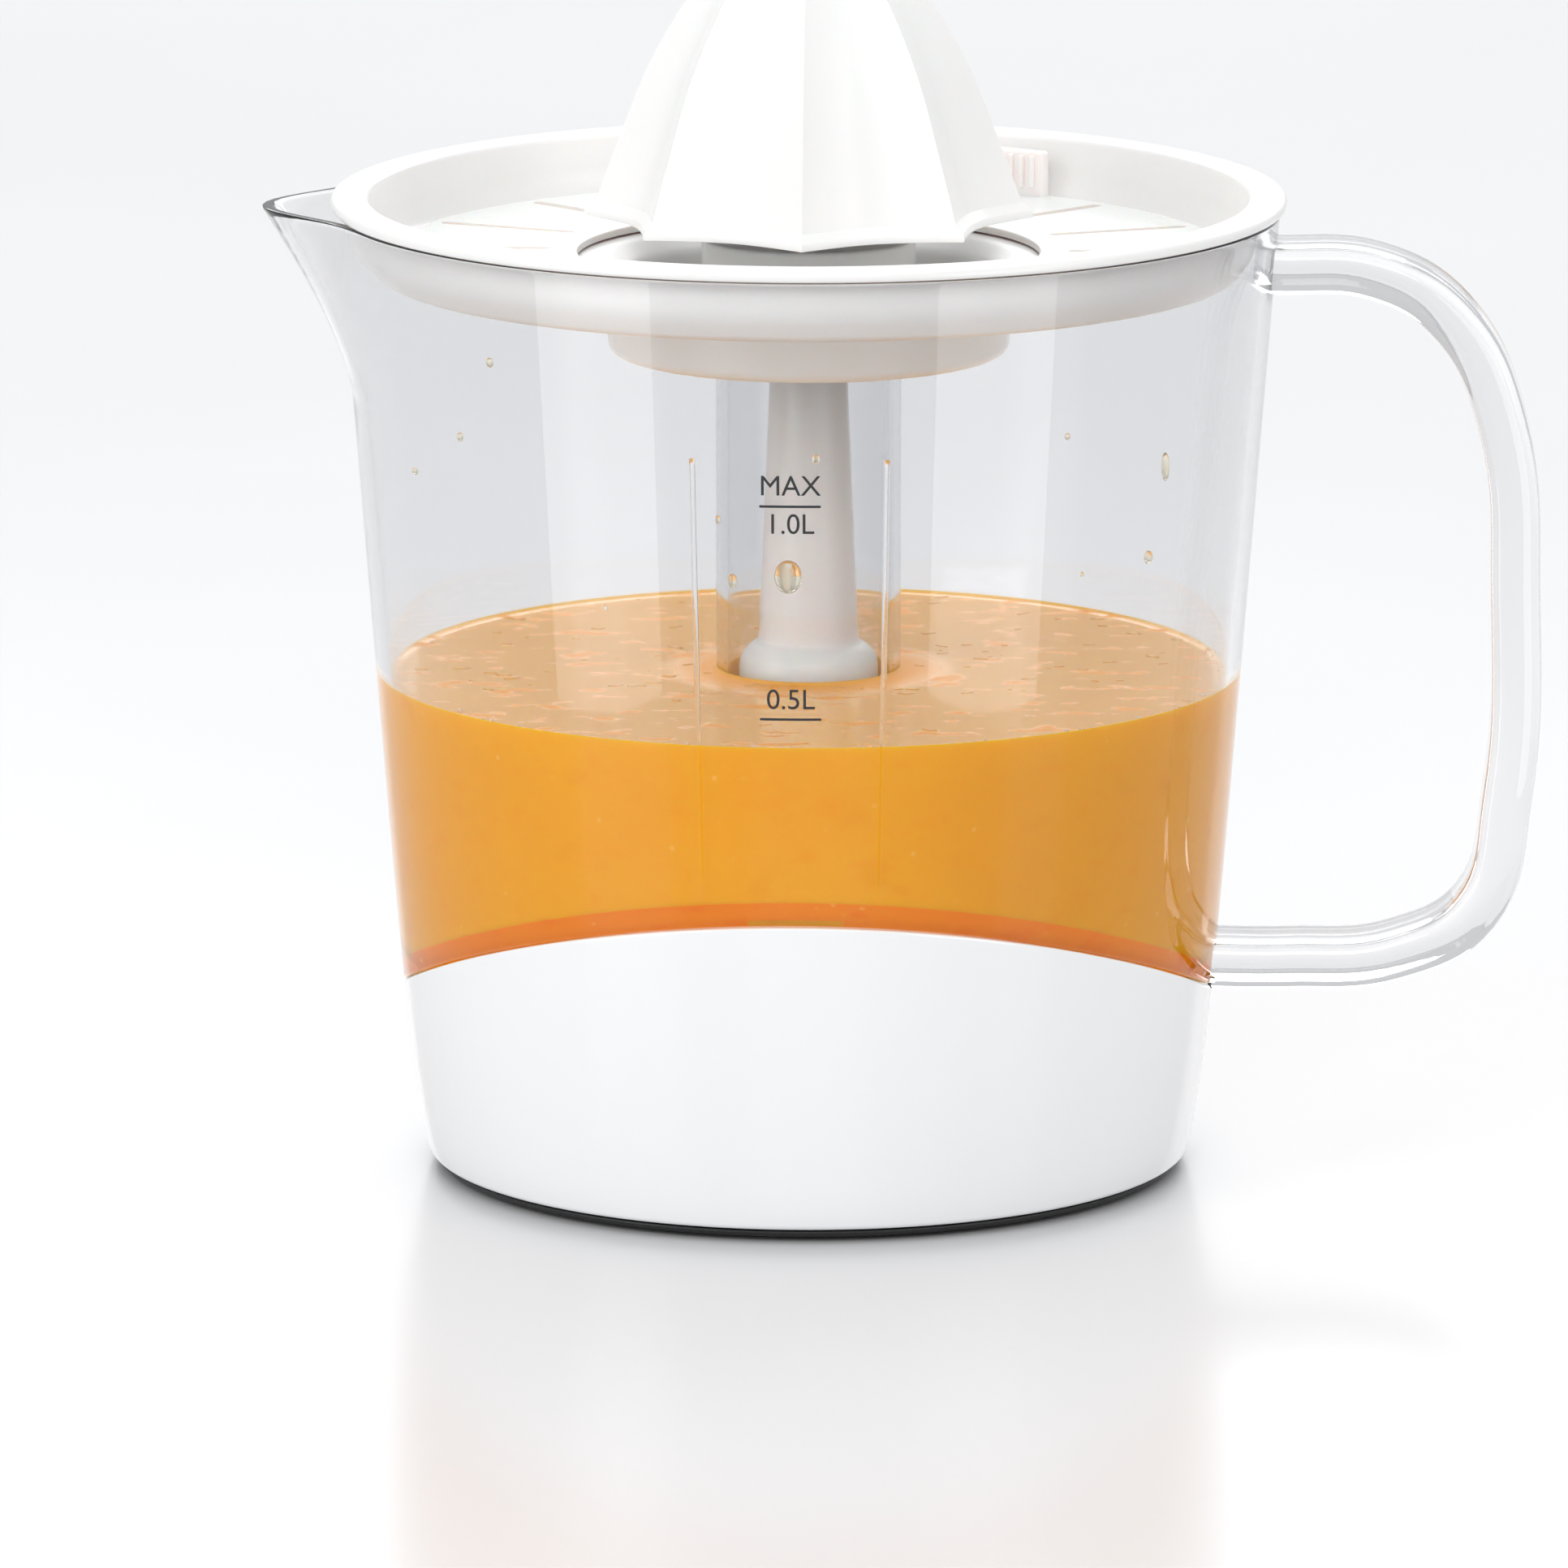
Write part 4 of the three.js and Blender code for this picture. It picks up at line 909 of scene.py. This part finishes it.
def juice_section(angle):
    line = rim_height(angle)
    low = jug_floor + wall - soak
    step = max(line + 0.9, low + 4.3) - soak
    shoulder = max(line + 4.2, low + 6.1) - soak
    nested = [(body_radius(z) - step_in - wall + soak, z, 0) for z in spread(low + 3.5, step, 5)]
    wetted = [(body_radius(z) - wall + soak, z, 0)
              for z in spread(max(line + 5.4, low + 7.3), juice_top + 0.5, 10)]
    tube = tube_outside - soak
    edge = body_radius(juice_top) - wall + soak
    return rounded([
        (58, low, 0), (body_radius(low) - step_in - wall + soak - 1.2, low + 0.3, 2), *nested,
        (body_radius(line + 4) - wall + soak, shoulder, 0.8), *wetted,
        (edge - 0.7, juice_top + 0.12, 0.4), *[(r, juice_top, 0) for r in spread(edge - 2, 17, 14)],
        (15.6, juice_top + 0.15, 0.3), (tube, juice_top + 0.6, 0), (tube, 77, 0), (tube, 74.2, 1),
        *dome_line(over_dome + wall - soak)[:-1][::-1],
    ], 3)


juice = wound("orange_juice", even_angles(160), juice_section, 60)


def juice_finish(name, shine, raft_roughness, deep, bright, raft, glow):
    """Orange juice, cloudy and flecked, with rafts of pulp and a ring of it round the tube.
    The glow stands in for light that has scattered through the juice."""
    made, tree, surface = material(name)
    place = node(tree, "ShaderNodeTexCoord").outputs["Object"]
    cloud = node(tree, "ShaderNodeTexNoise", {"Vector": place}, scale=28.0, detail=5.0).outputs["Fac"]
    specks = node(tree, "ShaderNodeTexVoronoi", {"Vector": place}, scale=260.0)
    sparse = node(tree, "ShaderNodeTexNoise", {"Vector": place}, scale=120.0)
    drawn_out = node(tree, "ShaderNodeMapping", {"Vector": place}, scale=(0.5, 1, 1))
    rafts = node(tree, "ShaderNodeTexNoise", {"Vector": drawn_out.outputs["Vector"]}, scale=230.0, detail=4.0)
    flat = node(tree, "ShaderNodeVectorMath", {0: place}, operation="MULTIPLY")
    flat.inputs[1].default_value = (1, 1, 0)
    from_middle = node(tree, "ShaderNodeVectorMath", {0: flat.outputs["Vector"]}, operation="LENGTH")
    few = node(tree, "ShaderNodeMath", {
        0: ranged(tree, specks.outputs["Distance"], 0.55, 0.0, 0.03, 0.16),
        1: ranged(tree, sparse.outputs["Fac"], 0.0, 1.0, 0.54, 0.6)}, operation="MULTIPLY")
    rich = node(tree, "ShaderNodeMath", {
        0: ranged(tree, from_middle.outputs["Value"], 1.0, 0.0, 0.017, 0.025),
        1: ranged(tree, rafts.outputs["Fac"], 0.0, 1.0, 0.57, 0.64)}, operation="MAXIMUM")
    flecked = blended(tree, few.outputs["Value"], blended(tree, cloud, deep, bright), (0.97, 0.62, 0.14))
    settled = blended(tree, rich.outputs["Value"], flecked, raft)
    ripple = node(tree, "ShaderNodeBump", {"Height": cloud}, strength=0.12, distance=0.001)
    gloss = ranged(tree, rich.outputs["Value"], 0.08, 0.08 + raft_roughness)
    tree.links.new(settled, surface.inputs["Base Color"])
    tree.links.new(settled, surface.inputs["Emission Color"])
    tree.links.new(ripple.outputs["Normal"], surface.inputs["Normal"])
    tree.links.new(gloss, surface.inputs["Roughness"])
    for label, value in (("Emission Strength", glow), ("Subsurface Weight", 0.4),
                         ("Subsurface Radius", (1.0, 0.45, 0.1)), ("Subsurface Scale", 0.005),
                         ("IOR", 1.35), ("Specular IOR Level", shine)):
        surface.inputs[label].default_value = value
    return made


# Against the plastic it hardly shines. Just above the base, where the plastic's step meets the juice, the juice gets
# painted shade (a deeper, redder orange) and painted light (a stronger glow).
deep, bright = (0.82, 0.36, 0.003), (0.87, 0.44, 0.010)
dress(juice, juice_finish("juice_against_plastic", 0.04, 0.1, deep, bright, (0.84, 0.38, 0.004), 0.06))
juice.data.materials.append(juice_finish(
    "juice_in_air", 0.5, 0.45, (0.83, 0.38, 0.010), (0.88, 0.45, 0.020), (0.84, 0.33, 0.001), 0.03))
# The third copy is painted shade and painted light: a deeper, redder orange with a stronger glow, for the band just
# above the shell's rim.
juice.data.materials.append(juice_finish(
    "juice_painted_step_shade_and_glow", 0.04, 0.1, (0.84, 0.21, 0.002), (0.88, 0.28, 0.004), (0.85, 0.22, 0.002), 0.2))
# Top faces take the juice in air. Faces from just under to just above the rim line take the painted shade and glow.
for face in juice.data.polygons:
    line = rim_height(math.atan2(face.center.y, face.center.x))
    in_painted_step_band = (line - 1.5) * MM < face.center.z < (line + 4) * MM
    if face.normal.z > 0.3 and face.center.z > (juice_top - 0.5) * MM:
        face.material_index = 1
    elif in_painted_step_band and face.center.xy.length > 55 * MM:
        face.material_index = 2
stands_for(juice, "jug", "clear_plastic")

# ---------------------------------------------------------------- pulp, bubbles and droplets
# Bits of pulp float on the juice, most of them towards the back, with a few bubbles along
# the front edge, and droplets cling to the inside of the jug where it was splashed.
chance = random.Random(7)


def scattered(name, spots, detail):
    """Many small rounded blobs in one piece. Each spot is a centre, three half sizes and a turn."""
    skin = bmesh.new()
    for centre, half, turn in spots:
        place = (Matrix.Translation(Vector(centre) * MM) @ Matrix.Rotation(turn, 4, "Z")
                 @ Matrix.Diagonal((half[0] * MM, half[1] * MM, half[2] * MM, 1)))
        bmesh.ops.create_icosphere(skin, subdivisions=detail, radius=1, matrix=place)
    data = bpy.data.meshes.new(name)
    skin.to_mesh(data)
    skin.free()
    for face in data.polygons:
        face.use_smooth = True
    piece = bpy.data.objects.new(name, data)
    studio.collection.objects.link(piece)
    return piece


fleck_spots = []
juice_edge = body_radius(juice_top) - wall - 1.5
while len(fleck_spots) < 110:
    angle = chance.uniform(0, 2 * math.pi)
    out = 16.5 + (juice_edge - 16.5) * chance.random() ** (1.6 if len(fleck_spots) < 40 else 0.6)
    x, y = out * math.cos(angle), out * math.sin(angle)
    if y < -25 and chance.random() < 0.75:
        continue
    long = chance.uniform(0.4, 1.9)
    half_sizes = (long, long * chance.uniform(0.25, 0.6), chance.uniform(0.06, 0.16))
    fleck_spots.append(((x, y, juice_top), half_sizes, chance.uniform(-0.7, 0.7)))
flecks = scattered("floating_pulp", fleck_spots, 1)
pulp_orange = moulded("orange_pulp", (0.92, 0.44, 0.04), (0.86, 0.30, 0.01), 0.3, 0.5, wave_size=400,
                      Subsurface_Weight=0.3, Subsurface_Scale=0.002)
dress(flecks, pulp_orange)
stands_for(flecks, "jug", "clear_plastic")

bubble_spots = []
for i in range(44):
    angle = front + chance.gauss(0, 0.75)
    size = chance.uniform(0.18, 0.5)
    out = juice_edge + 1.2 - size - abs(chance.gauss(0, 0.7))
    centre = (out * math.cos(angle), out * math.sin(angle), juice_top + 0.1)
    bubble_spots.append((centre, (size, size, size * 0.8), 0))
bubbles = scattered("bubbles", bubble_spots, 2)
bubble_film = moulded("bubble_film", (0.95, 0.84, 0.68), (0.92, 0.78, 0.58), 0.06, 0.12, wave_size=300,
                      Transmission_Weight=0.6, IOR=1.33)
dress(bubbles, bubble_film)
stands_for(bubbles, "jug", "clear_plastic")

# Each droplet: how far across from the middle of the front, its height, and its width and height.
droplets = [(-48.4, 141.7, 1.4, 1.6), (-53.4, 128.6, 1.3, 1.5), (57.6, 123.4, 1.8, 4.6),
            (55.0, 109, 1.9, 2.2), (-9.8, 109.6, 1.6, 2.2), (-1.0, 110.4, 4.4, 5.4),
            (42.5, 131, 1.0, 1.1), (-12.0, 119.5, 0.9, 1.4), (-61, 121, 1.6, 1.2),
            (44.8, 108, 0.7, 1.0), (3.4, 129.6, 1.3, 1.5), (-30, 104, 0.8, 0.9)]
droplet_spots = []
for across, z, wide, tall in droplets:
    inside = body_radius(z) - wall
    angle = math.asin(across / inside)
    out = inside - 0.3
    centre = (out * math.sin(angle), -out * math.cos(angle), z)
    droplet_spots.append((centre, (wide / 2, 0.3 * wide ** 0.5, tall / 2), angle))
drops = scattered("juice_droplets", droplet_spots, 3)
drop_clear = clear_plastic("thin_juice", (0.97, 0.90, 0.72), 0.02, 1.34)
dress(drops, drop_clear)
stands_for(drops, "jug", "clear_plastic")

# ---------------------------------------------------------------- strainer
# White strainer in the jug's mouth, one ABS moulding: a flange on the rim, a slotted floor,
# a deep well in the middle, and a sleeve that drops over the jug's tube.
strainer_floor = 149.4
slot_turns = even_angles(16)


def slots(name, inner, outer, half_width, turns, low, high):
    """Round-ended radial slots through a floor, as one cutter."""
    skin = bmesh.new()
    for turn in turns:
        outline = []
        for centre, start in ((outer - half_width, -math.pi / 2), (inner + half_width, math.pi / 2)):
            outline += [(centre + half_width * math.cos(start + a), half_width * math.sin(start + a))
                        for a in spread(0, math.pi, 7)]
        spun = [(x * math.cos(turn) - y * math.sin(turn), x * math.sin(turn) + y * math.cos(turn))
                for x, y in outline]
        rings = [[skin.verts.new((x * MM, y * MM, z * MM)) for x, y in spun] for z in (low, high)]
        skin.faces.new(rings[0][::-1])
        skin.faces.new(rings[1])
        skinned(skin, rings)
    return finish_mesh(skin, name)


strainer = turned("white_strainer", [
    (15.6, 134.6, 0.4), (31.5, 134.6, 1), (32.5, 135.6, 1), (33.3, 144.4, 2), (35.5, 147.6, 1.5),
    (69.2, 147.6, 1.5), (72.4, 152, 2), (73, 158.3, 0.6), (77.2, 158.3, 0.5), (77.6, 159.2, 0.6),
    (77.2, 160.2, 0.7), (71.4, 160.2, 0.9), (70.8, 152.8, 2), (68.6, strainer_floor, 1.6),
    (36.4, strainer_floor, 1.5), (31.6, 146, 2), (30.9, 136.4, 1.4), (17.4, 136.4, 0.8),
    (17.4, 153.2, 0.8), (6.9, 153.2, 0.4), (6.9, 151.4, 0.3), (15.6, 151.4, 0.5),
], 128)
cut_with(strainer, [slots("floor_slots", 42, 66, 1.1, slot_turns, 145, 155)])
cut_with(strainer, [slots("well_slots", 20, 29, 1, [a + math.pi / 6 for a in even_angles(6)], 133, 138)])
strainer_white = moulded("satin_white_abs", (0.89, 0.89, 0.875), (0.85, 0.85, 0.835), 0.2, 0.3, wave_size=26,
                         bloom_depth=0.08, Subsurface_Weight=0.1, Subsurface_Scale=0.002)
dress(strainer, strainer_white)
stands_for(strainer, "strainer", "white_abs",
           "strainer_bowl", "strainer_floor", "strainer_well", "strainer_sleeve")

# The pulp ring lies on the strainer's floor with the same slots. Its tab at the wall turns
# it by hand, so that more or less pulp goes through.
ring_low, ring_high = strainer_floor + 0.3, 151
pulp_ring = turned("pulp_ring_moulding", [
    (37.5, ring_low, 0.3), (68, ring_low, 0.3), (68, ring_high, 0.4), (37.5, ring_high, 0.4)], 128)
cut_with(pulp_ring, [slots("ring_slots", 42, 66, 1.1, slot_turns, 148, 153)])


def rounded_block(name, low, high, edge):
    """A block with rounded edges."""
    skin = bmesh.new()
    size = [b - a for a, b in zip(low, high)]
    middle = [(a + b) / 2 for a, b in zip(low, high)]
    place = Matrix.Translation(Vector(middle) * MM) @ Matrix.Diagonal((*[v * MM for v in size], 1))
    bmesh.ops.create_cube(skin, size=1, matrix=place)
    bmesh.ops.bevel(skin, geom=skin.edges[:], offset=edge * MM, segments=3, affect="EDGES", profile=0.5)
    return finish_mesh(skin, name)


tab = rounded_block("tab", (65.6, -5, 150), (67.8, 5, 158.5), 0.6)
for y in (-3, -1, 1, 3):
    join_to(tab, rounded_block("grip", (64.9, y - 0.4, 152.4), (66.2, y + 0.4, 157.8), 0.2))
tab.data.transform(Matrix.Rotation(math.pi / 3, 4, "Z"))
join_to(pulp_ring, tab)
# The same milky finish, with its pinkish painted reflection of the juice.
dress(pulp_ring, milky_with_painted_tint)
stands_for(pulp_ring, "pulp_ring", "milky_plastic", "pulp_ring")

# ---------------------------------------------------------------- cones
# The pressing cones, white ABS with eight sharp ridges each. The small reamer sits on the
# spindle's hexagon and on a nylon glide ring. The large cone, for oranges, fits over it.
glide_ring = turned("nylon_glide_ring", [
    (9.1, 157.9, 0.3), (12.4, 157.9, 0.3), (12.4, 159.7, 0.5), (9.1, 159.7, 0.5)])
dress(glide_ring, nylon)
stands_for(glide_ring, "cone_carrier", "nylon", "glide_ring")

ridge_depth = 0.09
ridge_steps = [math.pi / 4 * i + math.pi / 4 * t for i in range(8)
               for t in (0, 0.04, 0.1, 0.18, 0.28, 0.39, 0.5, 0.61, 0.72, 0.82, 0.9, 0.96)]


def ridged(points, angle, fillet=0.0):
    swell = 1 + ridge_depth * (1 - 2 * abs(math.sin(4 * angle)) ** 0.85)
    return [(r * swell, z, fillet) for r, z in points]


def curved(points, count):
    """A smooth line through points, from the first to the last."""
    line = []
    for i, (a, b) in enumerate(zip(points, points[1:])):
        before = points[max(i - 1, 0)]
        after = points[min(i + 2, len(points) - 1)]
        for t in spread(0, 1, count + 1)[:-1]:
            weights = (-t + 2 * t * t - t ** 3, 2 - 5 * t * t + 3 * t ** 3,
                       t + 4 * t * t - 3 * t ** 3, -t * t + t ** 3)
            line.append(tuple(sum(w * point[k] for w, point in zip(weights, (before, a, b, after))) / 2
                              for k in (0, 1)))
    return line + [points[-1]]


reamer_side = [(20.4, 160), (17.5, 168), (13.2, 178), (8.4, 186), (3.6, 191), (0, 192.3)]


def reamer_section(angle):
    socket = hexagon(angle, hexagon_corner + 0.4)
    return rounded([
        *ridged([(20.7, 157.5), (21, 158.2)], angle, 0.3), *ridged(curved(reamer_side, 4), angle),
        (0, 172.3, 0), (socket, 172.3, 0.3), (socket, 158, 0.2), (socket + 0.3, 157.5, 0.2),
        (8.3, 157.5, 0.4), (8.3, 160, 0), (8.3, 179, 0.8), (10.6, 176, 0.6), (14.6, 168, 0),
        (17.6, 160, 0.4), (18, 157.5, 0.3),
    ], 2)


reamer = wound("ridged_reamer", ridge_steps, reamer_section, 28)
dress(reamer, strainer_white)
stands_for(reamer, "reamer", "white_abs", "reamer")

cone_outside = [(31.6, 159), (28.6, 168), (23.4, 182), (16, 195), (8, 203.5), (0, 207)]
cone_inside = [(30.4, 156.4), (29.2, 159), (26.2, 168), (21, 181), (14, 193), (6.6, 201), (0, 203.6)]


def cone_section(angle):
    return rounded([
        *ridged([(33.4, 156.4), (33.4, 157.6)], angle, 0.4), *ridged(curved(cone_outside, 5), angle),
        *ridged(curved(cone_inside, 3)[::-1], angle),
    ], 2)


large_cone = wound("ridged_cone", ridge_steps, cone_section, 28)


def set_into(piece, other):
    """Adds another closed piece, whose edges end inside this one's walls, to its mesh."""
    both = bmesh.new()
    both.from_mesh(piece.data)
    both.from_mesh(other.data)
    both.to_mesh(piece.data)
    both.free()
    bpy.data.objects.remove(other)


def inner_fin(turn):
    """A thin web across the cone, cut out to clear the reamer under it."""
    low = 164
    half_thick = 0.8
    edge = [(r * 0.93 + 0.4, z) for r, z in curved(cone_inside, 3) if z > low][:-1]
    *gap, tip = [(r * 1.09 + 0.6, z + 0.5) for r, z in curved(reamer_side, 3) if z > low - 0.5]
    right = [(gap[0][0], low), *gap]
    outer = [(edge[0][0] + 0.6, low), *edge]
    outline = [*right, (0, tip[1] + 0.2), *[(-r, z) for r, z in right[::-1]],
               *[(-r, z) for r, z in outer], *outer[::-1]]
    skin = bmesh.new()
    rings = [[skin.verts.new((x * MM, y * MM, z * MM)) for x, z in outline]
             for y in (-half_thick, half_thick)]
    skin.faces.new(rings[0])
    skin.faces.new(rings[1][::-1])
    skinned(skin, rings)
    bmesh.ops.triangulate(skin, faces=skin.faces[:])
    fin = finish_mesh(skin, "fin")
    fin.data.transform(Matrix.Rotation(turn, 4, "Z"))
    return fin


for turn in (0, math.pi / 2):
    set_into(large_cone, inner_fin(turn))
dress(large_cone, strainer_white)
stands_for(large_cone, "large_cone", "white_abs", "large_cone")

size = open("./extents.json", "w")
json.dump({"cad": [list(c) for c in cad_box], "visual": [list(c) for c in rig.bounds()]}, size)
size.close()
